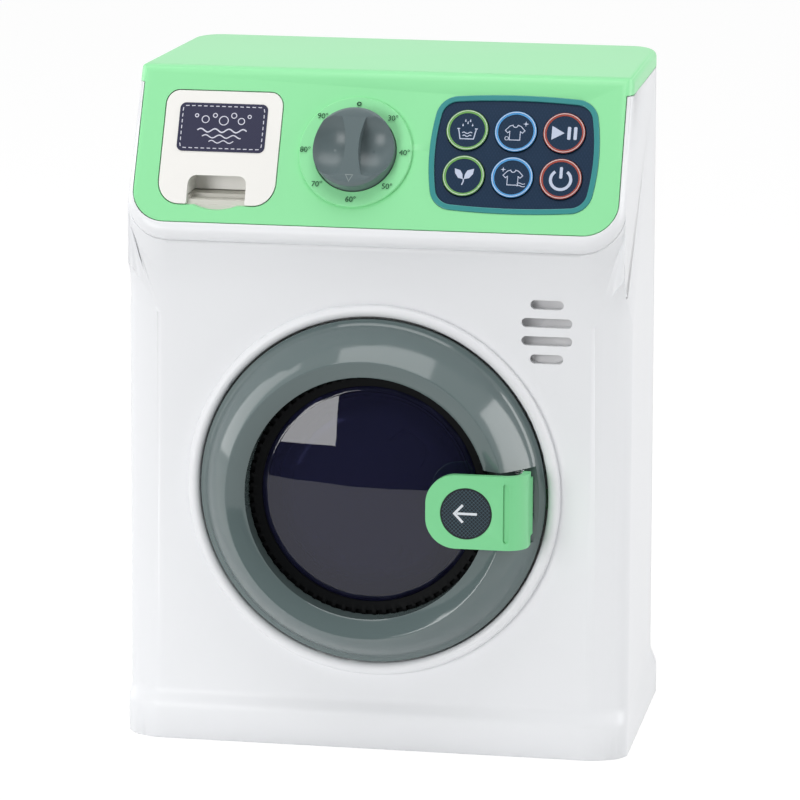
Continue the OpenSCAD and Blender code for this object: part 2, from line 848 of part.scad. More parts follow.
// Teal rim round the printed sheet
module keypad_rim() {
  color("teal") on_fascia() difference() {
    translate([0, 0, sheet_n]) linear_extrude(keypad_pocket + 0.5) keypad2d(0);
    translate([0, 0, sheet_n - 1]) linear_extrude(5) keypad2d(-keypad_rim_w);
  }
}

// Printed sheet of the keypad, with a hole for each button
module keypad_sheet() {
  color("midnightblue") on_fascia() difference() {
    translate([0, 0, sheet_n]) linear_extrude(keypad_sheet) keypad2d(-keypad_rim_w - 0.05);
    for (b = button_spots) translate([b.x, b.y, -5]) cylinder(r = button_r + button_gap, h = 10);
  }
}

// One button: a flanged cap with a raised ring and a stem
module button_cap(i, ring_colour) {
  b = button_spots[i];
  under = -wall - button_gap - 0.05;
  low = key_top + button_travel + 0.3;
  color(ring_colour) on_fascia() translate([b.x, b.y, 0]) {
    translate([0, 0, under]) cylinder(r = button_r, h = button_top - under);
    translate([0, 0, under - 0.9]) cylinder(r = button_r + 0.9, h = 0.9 + eps);
    translate([0, 0, low]) cylinder(r = 5, h = under - low);
    translate([0, 0, button_top - eps]) tube(button_r, button_r - ring_w, 0.25);
  }
}

button_top = 0.4;
key_top = -6.4;
mat_t = 1;
board_n = -9.5;
board_t = 1.6;
board_x0 = -32;
board_x1 = 94;
board_s0 = 6;
board_s1 = 60;
board_spots = [for (x = [board_x0 + 5, board_x1 - 4], y = [board_s0 + 5, board_s1 - 5]) [x, y]];

// Rubber mat with a dome under each button
module key_mat() {
  color("dimgray") on_fascia() {
    difference() {
      translate([keypad_x - keypad_w / 2 + 2, keypad_s - keypad_l / 2 + 5, board_n])
        cube([keypad_w - 8, keypad_l - 10, mat_t]);
      for (b = button_spots) translate([b.x, b.y, board_n - 1]) cylinder(r = 3.6, h = 5);
    }
    for (b = button_spots) translate([b.x, b.y, board_n]) difference() {
      cylinder(r1 = 5, r2 = 3.4, h = key_top - board_n, $fn = 32);
      translate([0, 0, -eps]) cylinder(r = 3, h = key_top - board_n - 1);
    }
  }
}

// Circuit board behind the fascia
module main_board() {
  color("darkgreen") on_fascia() difference() {
    union() {
      translate([board_x0, board_s0, board_n - board_t]) cube([board_x1 - board_x0, board_s1 - board_s0, board_t]);
      // Sound chip, capacitor and plug sockets on the back
      translate([40, 22, board_n - board_t - 1.6]) cube([14, 10, 1.7]);
      translate([64, 20, board_n - board_t - 8]) cylinder(r = 3, h = 8.1);
      for (x = socket_x) translate([x - 4, socket_s - 3, board_n - board_t - 5]) cube([8, 6, 5.1]);
    }
    for (p = board_spots) translate([p.x, p.y, board_n - 5]) cylinder(r = hole_r, h = 10);
    translate([dial_x, dial_s, board_n - 5]) cylinder(r = spindle_r + 1.1, h = 10);
  }
}

// Dial

spindle_step = dial_h + 0.2;

// Grey knob with a waisted grip bar between two scoops
module knob() {
  bowl_r = 15.5;
  low = -dial_floor + clear;
  bowl_n = dial_h + 1 + bowl_r;
  color("slategray") on_fascia() translate([dial_x, dial_s, 0]) difference() {
    union() {
      translate([0, 0, low]) cylinder(r = knob_r, h = knob_h - low - 1.2);
      translate([0, 0, knob_h - 1.2]) cylinder(r1 = knob_r, r2 = knob_r - 1.2, h = 1.2, $fn = 96);
    }
    for (s = [-1, 1]) intersection() {
      translate([s * (grip_w / 2 + grip_waist_r), 0, low]) cylinder(r = grip_waist_r, h = 40, $fn = 128);
      union() {
        translate([s * 8.2, 0, bowl_n]) sphere(bowl_r);
        translate([s * 8.2, 0, bowl_n]) cylinder(r = bowl_r, h = 30);
      }
    }
    translate([0, 0, low - 1]) cylinder(r = spindle_r, h = spindle_step - low + 1);
    translate([0, 0, low]) cylinder(r = 1.6, h = knob_h - 4 - low);
  }
}

// Steel spindle pressed into the knob
module knob_spindle() {
  low = board_n - board_t - 4;
  color("silver") on_fascia() translate([dial_x, dial_s, low]) {
    cylinder(r = spindle_r, h = spindle_step - low);
    cylinder(r = 1.6, h = knob_h - 4 - low);
  }
}

// Click switch that the spindle turns in
module dial_encoder() {
  color("darkslategray") on_fascia() translate([dial_x, dial_s, 0]) difference() {
    translate([-8, -8, board_n + eps]) cube([16, 16, 5]);
    translate([0, 0, board_n - 1]) cylinder(r = spindle_r + run_gap, h = 20);
  }
}

// Soap drawer

drawer_cx = drawer_x0 + drawer_w / 2;
notch_half = notch_w / 2;
scoop_cr = (scoop_x * scoop_x + scoop_drop * scoop_drop) / (2 * scoop_drop);
tray_z0 = head_z + drawer_z0 + 6.4;
tray_w = drawer_w - 4;

// Outline of the drawer front in X and Z, grown by g
module drawer2d(g) {
  translate([drawer_cx, 0]) plate2d(drawer_w + 2 * g, head_z + drawer_z0 - g, head_z + drawer_z0 + drawer_l + g,
    drawer_low_r + g, drawer_top_r + g);
}

// Drawer front with its finger notch and open tray
module drawer_tray() {
  y_far = tray_d;
  color("white") difference() {
    union() {
      // Sloped front
      intersection() {
        across(-20, 40) drawer2d(0);
        on_fascia() translate([-far / 2, -far / 2, -drawer_t]) cube([far, far, drawer_t]);
      }
      // Tray and finger pocket behind the front
      intersection() {
        union() {
          across(-20, y_far) translate([drawer_cx, tray_z0 + tray_h / 2]) square([tray_w, tray_h], center = true);
          across(-20, 16) translate([drawer_cx, tray_z0 + 2]) square([notch_w + 2 * tray_t, 10], center = true);
        }
        behind_fascia(drawer_t - 0.2);
      }
    }
    // Space in the tray
    intersection() {
      across(-20, y_far - tray_t) translate([drawer_cx, tray_z0 + tray_h / 2 + tray_t])
        square([tray_w - 2 * tray_t, tray_h], center = true);
      behind_fascia(drawer_t);
      difference() {
        between_y(-20, y_far);
        translate([drawer_cx - notch_half - tray_t, front - 20, tray_z0 - 5])
          cube([notch_w + 2 * tray_t, 20 + 14 + tray_t, 12.2]);
      }
    }
    // Finger notch
    across(-20, 14) translate([drawer_cx, 0])
      plate2d(notch_w, head_z + drawer_z0 - 20, head_z + drawer_z0 + notch_l, notch_r, notch_r);
  }
}

// Printed patch on the drawer front
module drawer_label() {
  color("darkslateblue") on_fascia() translate([drawer_cx, 41.2, 0]) linear_extrude(0.3)
    plate2d(37.4, -10.6, 10.6, 2.6, 2.6);
}

// White housing that the drawer slides in, with a flange behind the panel
module drawer_housing() {
  out_w = drawer_w + 3;
  z0 = head_z + drawer_z0 - 4.2;
  z1 = tray_z0 + tray_h + 4;
  color("white") difference() {
    union() {
      intersection() {
        across(-20, tray_d + 4) translate([drawer_cx, (z0 + z1) / 2]) square([out_w, z1 - z0], center = true);
        behind_fascia(wall + 0.4);
      }
      difference() {
        on_fascia() translate([drawer_cx, 0, -wall - 1.7]) linear_extrude(1.65)
          plate2d(drawer_w + 9.2, 6.2, 61, 8, 3);
        across(-20, 40) drawer2d(drawer_gap);
      }
    }
    // Space for the tray
    intersection() {
      across(-20, tray_d + 4 - tray_t) translate([drawer_cx, tray_z0 - clear + (tray_h + 2 * clear) / 2])
        square([tray_w + 2 * clear, tray_h + 2 * clear], center = true);
      behind_fascia(0);
    }
    // Space for the finger pocket, its floor scooped
    across(-20, 17) translate([drawer_cx, tray_z0 + 3])
      square([notch_w + 2 * tray_t + 2 * clear, 12 + 2 * clear], center = true);
    across(-20, 6) translate([drawer_cx, tray_z0 - 1]) square([notch_w - 1, 8], center = true);
  }
}

// Speaker

// Steel basket and magnet of the speaker
module speaker_frame() {
  color("dimgray") translate([speaker_x, front + wall + 0.05, speaker_z]) rotate([-90, 0, 0]) {
    tube(speaker_r, speaker_r - 2.5, 2);
    translate([0, 0, 1.5]) difference() {
      cylinder(r1 = speaker_r - 1, r2 = 9, h = 7);
      translate([0, 0, -eps]) cylinder(r1 = speaker_r - 2, r2 = 8, h = 6);
    }
    translate([0, 0, 8.4]) cylinder(r = 8.5, h = 5);
  }
}

// Paper cone of the speaker
module speaker_cone() {
  color("black") translate([speaker_x, front + wall + 0.8, speaker_z]) rotate([-90, 0, 0]) rotate_extrude()
    polygon([[0, 4.4], [4, 4.4], [speaker_r - 3.4, 0.6], [speaker_r - 2.6, 0.6], [speaker_r - 2.6, 1.1],
      [speaker_r - 3.2, 1.1], [4.2, 5], [0, 5]]);
}

// Door

function bulged(a, b, h, n) = let (d = b - a, q = [d.y, -d.x] / norm(d))
  [for (i = [0:n]) a + d * i / n + q * h * 4 * (i / n) * (1 - i / n)];

rim_r = door_hole_r - door_gap;
rim_top = 3.7;
rim_low = 0.5;
ring_outer = concat(
  [[rim_r, rim_low], [rim_r, rim_top - 0.9], [rim_r - 0.3, rim_top - 0.3], [rim_r - 1, rim_top]],
  bulged([band_r, band_z], [crest_r + 0.5, crest_z - 0.5], slope_bulge, 10),
  [[crest_r, crest_z], [crest_r - 0.6, crest_z - 0.2]],
  [[lip_r + 0.4, lip_z + 0.1], [lip_r, lip_z - 0.3]]);
ring_seat = 8;
pocket_x1 = handle_x1 + 2.4;
pocket_half = handle_l / 2 + handle_gap;
pocket_wall = 1.6;
pocket_low = 4.8;

// Grey-green ring of the door: a hollow skin with a pocket for the handle
module door_ring() {
  inner = concat(
    [[rim_r - skin, rim_low], [rim_r - skin, rim_top - 1.6]],
    bulged([band_r - 1.2, band_z - skin], [crest_r - 0.4, crest_z - 1.25 * skin], slope_bulge, 10),
    [[lip_r + skin, lip_z - 0.7 * skin], [lip_r + skin, ring_seat]]);
  color("slategray") on_door() difference() {
    union() {
      rotate_extrude($fn = 128) polygon(concat(ring_outer, [[lip_r, ring_seat]],
        [for (i = [len(inner) - 1:-1:0]) inner[i]]));
      // Walls of the pocket
      intersection() {
        rotate_extrude($fn = 128) polygon(concat([[lip_r, ring_seat], [lip_r + 4, 3.4], [rim_r - 1, 3.4 - 1],
          [rim_r, 1.2]], [for (i = [1:len(ring_outer) - 1]) ring_outer[i]]));
        translate([lip_r - 2, handle_y - pocket_half - pocket_wall, 3.2])
          cube([pocket_x1 + pocket_wall - lip_r + 2, 2 * (pocket_half + pocket_wall), 30]);
      }
      // Knuckle of the hinge
      translate([hinge_x, -hinge_half + clear, hinge_out]) rotate([-90, 0, 0])
        cylinder(r = 3.2, h = 2 * (hinge_half - clear));
      translate([hinge_x - 1, -hinge_half + clear, hinge_out]) cube([2, 2 * (hinge_half - clear), 9]);
    }
    // The pocket itself, open to the middle
    translate([lip_r - 6, handle_y - pocket_half, pocket_low]) cube([pocket_x1 - lip_r + 6, 2 * pocket_half, 30]);
    // Way through for the hook
    translate([latch_x - 7.5, handle_y - hook_w / 2 - clear, -5]) cube([12.8, hook_w + 2 * clear, 20]);
    // Holes for the pins
    translate([latch_x, handle_y - pocket_half - 4, latch_z]) rotate([-90, 0, 0])
      cylinder(r = latch_pin_r, h = 2 * pocket_half + 8);
    translate([hinge_x, -hinge_half - 3, hinge_out]) rotate([-90, 0, 0])
      cylinder(r = hinge_pin_r + run_gap, h = 2 * hinge_half + 6);
    // Ways past the hinge arms
    for (s = [-1, 1]) translate([-rim_r - 2, s * (hinge_half + arm_t / 2) - arm_t / 2 - clear, -1])
      cube([rim_r + 2 + hinge_x - 4.5, arm_t + 2 * clear, 1 + rim_top - 1.5]);
  }
}

// Dark ring inside the door with its row of slots
module door_inner_ring() {
  color("black") on_door() difference() {
    rotate_extrude($fn = 128) polygon([[window_r, 6.4], [lip_r + 4, 6.4], [lip_r + 4, ring_seat], [lip_r - 0.2, ring_seat],
      [lip_r - 0.2, ring_seat + 1.2], [lip_r - 1.2, ring_seat + 1.2], [window_r + 1, ring_seat - 0.2], [window_r, ring_seat - 0.6]]);
    for (i = [0:slot_n - 1]) rotate([0, 0, 360 / slot_n * i]) translate([lip_r - 2, -1.4, ring_seat - 0.4])
      cube([3, 2.8, 3]);
    // Room for the handle's pocket
    translate([lip_r - 2 - clear, handle_y - pocket_half - pocket_wall - clear, 0]) cube([20, 2 * (pocket_half + pocket_wall + clear), 20]);
  }
}

// Smoked window with a shallow dome
module door_window() {
  rw = (window_r * window_r + window_dome * window_dome) / (2 * window_dome);
  z_c = 6.6 + window_dome - rw;
  color("midnightblue", 0.6) on_door() union() {
    difference() {
      translate([0, 0, z_c]) intersection() {
        sphere(rw, $fn = 96);
        translate([0, 0, rw - window_dome]) cylinder(r = window_r - 0.2, h = window_dome + 2);
      }
      translate([0, 0, z_c]) sphere(rw - window_t, $fn = 96);
    }
    translate([0, 0, 4.4]) tube(window_r + 4, window_r - 4, 2);
    translate([0, 0, 4.4]) tube(window_r - 0.2, window_r - 4, 2.6);
  }
}

// Dark plate that closes the door from behind
module door_back() {
  color("darkslategray") on_door() difference() {
    union() {
      translate([0, 0, 0.6]) tube(rim_r - skin - 1.7, window_r, 1.8);
      translate([0, 0, 2.2]) tube(window_r + 4, window_r + 1, 2.2);
    }
    translate([latch_x - 8, handle_y - hook_w / 2 - 1, -1]) cube([20, hook_w + 2, 10]);
    translate([-rim_r - 1, -hinge_half - arm_t - 1, -1]) cube([rim_r + 1 + hinge_x + 8, 2 * (hinge_half + arm_t + 1), 3.9]);
  }
}

arm_t = 3;
bracket_y = 7;

// White bracket on the tub front that carries the hinge pin
module hinge_bracket() {
  half = hinge_half + arm_t;
  color("white") on_door() difference() {
    union() {
      translate([hinge_x - 7, -half - 8, -tub_y]) cube([14, 2 * half + 16, tub_y - bracket_y]);
      for (s = [-1, 1]) translate([0, s * (hinge_half + arm_t / 2) - arm_t / 2, 0]) {
        translate([hinge_x, arm_t, hinge_out]) rotate([90, 0, 0]) linear_extrude(arm_t) {
          circle(2.2);
          polygon([[0, 2.2], [5.6, 0], [5.6, -hinge_out - bracket_y - eps],
            [2.6, -hinge_out - bracket_y - eps], [2.6, -2], [0, -2.2]]);
        }
      }
    }
    translate([hinge_x, -half - 10, hinge_out]) rotate([-90, 0, 0]) cylinder(r = hinge_pin_r, h = 2 * half + 20);
    for (s = [-1, 1]) translate([hinge_x, s * (half + 4), -20]) cylinder(r = screw_r, h = 20);
  }
}

// Steel hinge pin
module hinge_pin() {
  color("silver") on_door() translate([hinge_x, -hinge_half - arm_t, hinge_out]) rotate([-90, 0, 0])
    cylinder(r = hinge_pin_r, h = 2 * (hinge_half + arm_t));
}

// Handle

// Outline of the handle's flat face
module handle2d() {
  w = latch_x - handle_x0;
  h = handle_l / 2;
  translate([handle_x0, handle_y]) {
    polygon([[0, -h + handle_r], [handle_r, -h], [w + 10, -h], [w + 10, h], [handle_r, h], [0, h - handle_r]]);
    for (s = [-1, 1]) translate([handle_r, s * (h - handle_r)]) circle(handle_r);
  }
}

// Green handle: a flat grip that bends into the door, with a hook behind
module door_handle() {
  bend_c = [handle_x1 - handle_bend, handle_z - handle_bend];
  bend_in = handle_bend - handle_t;
  half = handle_l / 2;
  hub_half = 12;
  color("mediumseagreen") on_door() difference() {
    union() {
      intersection() {
        linear_extrude(60) handle2d();
        translate([0, handle_y + half, 0]) rotate([90, 0, 0]) linear_extrude(2 * half) union() {
          polygon([[0, handle_z - handle_t], [bend_c.x, handle_z - handle_t], [bend_c.x, handle_z],
            [0, handle_z]]);
          intersection() {
            difference() {
              translate(bend_c) circle(handle_bend);
              translate(bend_c) circle(bend_in);
            }
            translate(bend_c) square(handle_bend + 1);
          }
          polygon([[handle_x1 - handle_t, pocket_low + 1.6], [handle_x1, pocket_low + 1.6], [handle_x1, bend_c.y],
            [handle_x1 - handle_t, bend_c.y]]);
        }
      }
      translate([latch_x, handle_y - hub_half, latch_z]) rotate([-90, 0, 0]) cylinder(r = 2.9, h = 2 * hub_half);
      // Hook that reaches behind the case
      translate([latch_x - 1.2, handle_y - hook_w / 2, -bracket_y]) cube([2.6, hook_w, latch_z + bracket_y]);
      translate([latch_x - 1.2, handle_y - hook_w / 2, -bracket_y]) cube([rim_r - 0.6 - latch_x + 1.2, hook_w, 2.4]);
    }
    // Groove for the finger and seat for the badge
    translate([60.2, handle_y, handle_z - 0.9]) linear_extrude(3) rotate(90) slot2d(25, 2.3);
    translate([badge_x, handle_y - 0.6, handle_z - 0.5]) cylinder(r = badge_r + 0.15, h = 3);
    translate([latch_x, handle_y - 30, latch_z]) rotate([-90, 0, 0]) cylinder(r = latch_pin_r + run_gap, h = 60);
    for (s = [0, 1]) mirror([0, s, 0]) translate([latch_x - 4, (1 - 2 * s) * handle_y + hub_half, 0])
      cube([10, 10, latch_z + 3.6]);
  }
}

badge_x = 43.6;

// Round printed badge on the handle
module handle_badge() {
  color("midnightblue") on_door() translate([badge_x, handle_y - 0.6, handle_z - 0.5]) cylinder(r = badge_r, h = 0.6);
}

// Steel pin of the handle
module latch_pin() {
  half = pocket_half + pocket_wall;
  color("silver") on_door() translate([latch_x, handle_y - half, latch_z]) rotate([-90, 0, 0])
    cylinder(r = latch_pin_r, h = 2 * half);
}

// Tube of wire radius w along points p, with six sides
module coil(radius, w, turns, pitch) {
  sides = 6;
  per = 16;
  n = round(turns * per);
  pts = [for (i = [0:n], k = [0:sides - 1]) let (a = 360 * i / per, b = 360 * k / sides,
    r = radius + w * cos(b)) [r * cos(a), r * sin(a), pitch * i / per + w * sin(b)]];
  faces = concat([[for (k = [0:sides - 1]) k]], [[for (k = [sides - 1:-1:0]) n * sides + k]],
    [for (i = [0:n - 1], k = [0:sides - 1]) let (a = i * sides + k, b = i * sides + (k + 1) % sides)
      [b, a, a + sides]],
    [for (i = [0:n - 1], k = [0:sides - 1]) let (a = i * sides + k, b = i * sides + (k + 1) % sides)
      [b, a + sides, b + sides]]);
  polyhedron(pts, faces);
}

// Coil spring on the latch pin
module latch_spring() {
  color("silver") on_door() translate([latch_x, handle_y + 12.7, latch_z]) rotate([-90, 0, 0])
    coil(2.05, 0.3, 3, 0.8);
}

// Drum

// White front of the tub behind the door
module tub_front() {
  color("gainsboro") on_door() difference() {
    union() {
      translate([0, 0, -tub_y - wall]) tube(door_hole_r + 11, mouth_r, wall);
      translate([0, 0, -drum_y0 + 0.8]) tube(mouth_r + 1.6, mouth_r, drum_y0 - tub_y - 0.8);
    }
    for (p = tub_spots) translate([p.x, p.y - door_z, -30]) cylinder(r = hole_r, h = 40);
    for (s = [-1, 1]) translate([hinge_x, s * (hinge_half + arm_t + 4), -30]) cylinder(r = hole_r, h = 40);
    translate([speaker_x, speaker_z - door_z, -40]) cylinder(r = speaker_r + 3, h = 60);
  }
}

lifter_n = 3;

// Turning drum with holes and lifters
module drum() {
  color("silver") on_door() translate([0, 0, -drum_y0 - drum_l]) difference() {
    union() {
      difference() {
        cylinder(r = drum_r, h = drum_l);
        translate([0, 0, drum_t]) cylinder(r = drum_r - drum_t, h = drum_l);
      }
      translate([0, 0, drum_l - 2]) tube(drum_r, mouth_r - 2, 2);
      for (i = [0:lifter_n - 1]) rotate([0, 0, 30 + 360 / lifter_n * i]) translate([drum_r - 1, 0, drum_t])
        linear_extrude(drum_l - drum_t - 2.5) polygon([[0.2, -7], [-11, -2], [-12, 0], [-11, 2], [0.2, 7]]);
      translate([0, 0, 0]) cylinder(r = 9, h = 8);
    }
    translate([0, 0, -1]) cylinder(r = shaft_r, h = 7);
    for (i = [0:drum_holes - 1], j = [0:2]) rotate([0, 0, 360 / drum_holes * (i + 0.5 + (j % 2) / 2)])
      translate([drum_r - 6, 0, 12 + 15 * j]) rotate([0, 90, 0]) cylinder(r = 2, h = 10);
  }
}

// Steel shaft of the drum
module drum_shaft() {
  low = frame_y + frame_t + 1.5 + gear_w + 3;
  color("silver") on_door() translate([0, 0, -low]) cylinder(r = shaft_r, h = low - drum_y0 - drum_l + 6);
}

gear_y = frame_y + frame_t + 2;
gear_y2 = gear_y + gear_w + 1;
cover_y = gear_y2 + gear_w2 + 1.5;
centre_d = gear_m * (teeth_big + teeth_small) / 2;
idler_p = [0, -centre_d];
motor_p = [centre_d, -centre_d];

// Outline of a gear; phase turns it by parts of a tooth
module gear2d(n, phase = 0) {
  rp = gear_m * n / 2;
  ra = rp + gear_m * 0.9;
  rf = rp - gear_m * 1.2;
  step = 360 / n;
  flank = 4.2 * 12 / n;
  w = step / 4 - backlash / rp * 180 / PI / 2;
  polygon([for (i = [0:n - 1], k = [0:3]) let (
    a = step * (i + phase) + [-w - flank, -w + flank * 0.9, w - flank * 0.9, w + flank][k],
    r = (k == 0 || k == 3) ? rf : ra) [r * cos(a), r * sin(a)]]);
}

// Large gear on the drum shaft
module drum_gear() {
  color("ivory") on_door() translate([0, 0, -gear_y - gear_w]) difference() {
    linear_extrude(gear_w) gear2d(teeth_big, 0);
    translate([0, 0, -1]) cylinder(r = shaft_r, h = 20);
  }
}

// Double gear between drum and motor
module idler_gear() {
  color("ivory") on_door() translate([idler_p.x, idler_p.y, -gear_y2 - gear_w2]) difference() {
    union() {
      linear_extrude(gear_w2) gear2d(teeth_big, 0);
      translate([0, 0, gear_w2 - eps]) linear_extrude(gear_w + 1) gear2d(teeth_small, 0.5);
    }
    translate([0, 0, -1]) cylinder(r = 1.5 + run_gap, h = 20);
  }
}

// Steel axle of the double gear
module idler_axle() {
  color("silver") on_door() translate([idler_p.x, idler_p.y, -cover_y - 1.5]) cylinder(r = 1.5, h = cover_y + 1.5 - frame_y - 1);
}

// Pinion on the motor's spindle
module motor_pinion() {
  color("goldenrod") on_door() translate([motor_p.x, motor_p.y, 0]) {
    translate([0, 0, -gear_y2 - gear_w2]) linear_extrude(gear_w2) gear2d(teeth_small, 0.5);
    translate([0, 0, -cover_y - 6]) cylinder(r = 1, h = cover_y + 6 - gear_y2 - gear_w2 + eps);
  }
}

// Electric motor with flats on its can
module motor() {
  y0 = cover_y + frame_t;
  color("lightgray") on_door() translate([motor_p.x, motor_p.y, -y0 - motor_l]) difference() {
    union() {
      intersection() {
        cylinder(r = motor_r, h = motor_l);
        translate([-motor_r, -7.5, 0]) cube([2 * motor_r, 15, motor_l]);
      }
      translate([0, 0, motor_l - eps]) cylinder(r = 3, h = 1.4);
    }
    translate([0, 0, motor_l - 8]) cylinder(r = 1 + run_gap, h = 20);
  }
}

// Flanged bushes in the gear frame for the drum shaft
module shaft_bushes() {
  color("goldenrod") on_door() {
    translate([0, 0, -frame_y - frame_t]) tube(6, shaft_r + run_gap, frame_t + 1.5);
    translate([0, 0, -frame_y]) tube(8, shaft_r + run_gap, 1.5);
  }
}

// Frame plate behind the drum
module gear_frame() {
  color("white") on_door() difference() {
    translate([0, 0, -frame_y - frame_t]) linear_extrude(frame_t) union() {
      square([32, 112], center = true);
      for (z = [-52, 52]) translate([0, z]) square([180, 12], center = true);
      translate([5, -10]) square([92, 76], center = true);
    }
    translate([0, 0, -frame_y - 10]) cylinder(r = 6, h = 20);
    translate([idler_p.x, idler_p.y, -frame_y - 10]) cylinder(r = 1.5, h = 20);
    for (p = frame_spots) translate([p.x, p.y - door_z, -frame_y - 10]) cylinder(r = hole_r, h = 20);
    for (p = cover_spots) translate([p.x, p.y, -frame_y - 10]) cylinder(r = 1.2, h = 20);
  }
}

cover_spots = [[-26, 8], [40, 8], [-26, -28], [40, -28]];

// Cover over the gears that carries the motor
module gear_cover() {
  depth = cover_y - frame_y - frame_t;
  color("whitesmoke") on_door() difference() {
    union() {
      translate([-31, -47, -cover_y - frame_t]) cube([78, 60, frame_t]);
      for (p = cover_spots) translate([p.x, p.y, -cover_y - eps]) cylinder(r = 3.4, h = depth);
    }
    translate([motor_p.x, motor_p.y, -cover_y - 10]) cylinder(r = 3.2, h = 20);
    translate([idler_p.x, idler_p.y, -cover_y - 10]) cylinder(r = 1.5, h = 20);
    translate([0, 0, -cover_y - 10]) cylinder(r = shaft_r + 1, h = 20);
    for (p = cover_spots) translate([p.x, p.y, -cover_y - 10]) cylinder(r = hole_r, h = 40);
  }
}

// Batteries

box_t = 1.6;
box_w = cell_l + 6;
box_l = cell_n * (cell_d + 0.6) + 1.4;
box_d = cell_d + 1.6;
cover_t = 2;
battery_top = battery_z + box_l + box_t;

// Hole in the back for the battery cover, grown by g
module battery_opening(g) {
  across(body_d - wall - 3, body_d + 2) translate([battery_x, 0])
    plate2d(box_w + 2 * g, battery_z - g, battery_z + box_l + 8 + g, 2, 2);
}

// Box that holds the cells
module battery_box() {
  y1 = body_d - wall - 0.2;
  color("white") difference() {
    union() {
      across(y1 - box_d - box_t, y1) translate([battery_x, battery_z + box_l / 2])
        square([box_w + 2 * box_t, box_l + 2 * box_t], center = true);
      across(y1 - 8, y1) translate([battery_x, battery_top + 3]) square([12, 8], center = true);
    }
    across(y1 - box_d, y1 + 1) translate([battery_x, battery_z + box_l / 2]) square([box_w, box_l], center = true);
    across(y1 - 20, y1 + 1) translate([battery_x, battery_top + 4]) circle(screw_r);
  }
}

// The cells, side by side
module battery_cells() {
  color("orange") for (i = [0:cell_n - 1])
    translate([battery_x - cell_l / 2 + 1 + 0.2, front + body_d - wall - 0.2 - cell_d / 2 - 0.9,
      battery_z + 1 + cell_d / 2 + i * (cell_d + 0.6)]) mirror([i % 2, 0, 0]) translate([i % 2 ? -cell_l + 1 : 0, 0, 0])
      rotate([0, 90, 0]) {
        cylinder(r = cell_d / 2, h = cell_l - 1);
        translate([0, 0, cell_l - 1 - eps]) cylinder(r = 2.7, h = 1);
      }
}

// Coil springs at the ends of the cells
module battery_springs() {
  color("silver") for (i = [0:cell_n - 1]) let (side = i % 2 ? 1 : -1)
    translate([battery_x + side * (box_w / 2 - 0.05), front + body_d - wall - 0.2 - cell_d / 2 - 0.9,
      battery_z + 1 + cell_d / 2 + i * (cell_d + 0.6)]) rotate([0, -90 * side, 0])
        translate([0, 0, 0.4]) coil(2.6, 0.3, 2, 0.8);
}

// Cover over the batteries
module battery_cover() {
  color("white") difference() {
    union() {
      across(body_d - cover_t, body_d) translate([battery_x, 0])
        plate2d(box_w - 0.2, battery_z + 0.1, battery_z + box_l + 7.9, 1.9, 1.9);
      // Finger ribs
      for (i = [-2:2]) across(body_d - 1, body_d + 0.6) translate([battery_x, battery_z + 9 + i * 2.6])
        slot2d(24, 1.2);
    }
    translate([battery_x, front + body_d + 2, battery_top + 4]) rotate([90, 0, 0]) {
      cylinder(r = hole_r, h = 20);
      cylinder(r = 3, h = 3);
    }
  }
}

// Screw of the battery cover
module cover_screw() {
  color("silver") translate([battery_x, front + body_d - 1 + 0.05, battery_top + 4]) rotate([90, 0, 0])
    scale(0.9) screw(9);
}

// Power switch on the back
module power_switch() {
  y1 = body_d - wall - 0.1;
  color("dimgray") difference() {
    union() {
      across(y1 - 6, y1) translate([switch_x, switch_z]) square([15, 9], center = true);
      across(y1 - 1, y1) translate([switch_x, switch_z]) square([25, 7], center = true);
    }
    across(y1 - 4, y1 + 1) translate([switch_x, switch_z]) square([switch_travel + 6.8, 6], center = true);
    for (s = [-1, 1]) across(y1 - 9, y1 + 1) translate([switch_x + s * 9.5, switch_z]) circle(1.2);
  }
}

// Slider of the power switch
module switch_slider() {
  y1 = body_d - wall - 0.1;
  color("black") across(y1 - 3.6, body_d + 1) translate([switch_x - switch_travel / 2, switch_z])
    square([5.6, 4], center = true);
}

// Screws

// Six screws that join the two shells
module shell_screws() {
  color("silver") for (p = post_spots) translate([p.x, front + body_d - 8, p.y]) rotate([90, 0, 0]) screw(22);
}

// Four screws of the base plate
module base_screws() {
  color("silver") for (p = base_spots) translate([p.x, front + p.y, base_lift + 1.2]) screw(10);
}

// Screws of the main board and of the control panel
module panel_screws() {
  color("silver") on_fascia() {
    for (p = board_spots) translate([p.x, p.y, board_n - board_t]) scale(0.8) screw(8);
    for (p = panel_spots) translate([p.x, p.y, -wall - ledge_t]) scale(0.8) screw(4.8);
  }
}

// Screws of the tub front, the gear frame and the gear cover
module drive_screws() {
  color("silver") {
    for (p = frame_spots) translate([p.x, front + frame_y + frame_t, p.y]) rotate([90, 0, 0]) screw(12);
    for (p = tub_spots) translate([p.x, front + tub_y + wall, p.y]) rotate([90, 0, 0]) screw(9);
    for (s = [-1, 1]) translate([hinge_x, front + tub_y + wall, door_z + s * (hinge_half + arm_t + 4)])
      rotate([90, 0, 0]) screw(4.2);
    on_door() for (p = cover_spots) translate([p.x, p.y, -cover_y - frame_t]) scale(0.8) screw(22);
  }
}

// Wiring

wire_r = 0.8;
socket_x = [-18, 24, 78];
socket_s = 14;

// A round wire through the points of a list
module wire(pts) {
  for (i = [0:len(pts) - 2]) {
    d = pts[i + 1] - pts[i];
    translate(pts[i]) rotate([0, acos(d.z / norm(d)), atan2(d.y, d.x)]) cylinder(r = wire_r, h = norm(d), $fn = 16);
    if (i > 0) translate(pts[i]) sphere(wire_r * 1.15, $fn = 24);
  }
}

// Last stretch of a lead, up to its socket on the main board
function to_board(x) = [fascia_pt(x, socket_s, board_n - board_t - 16), fascia_pt(x, socket_s, board_n - board_t - 5)];

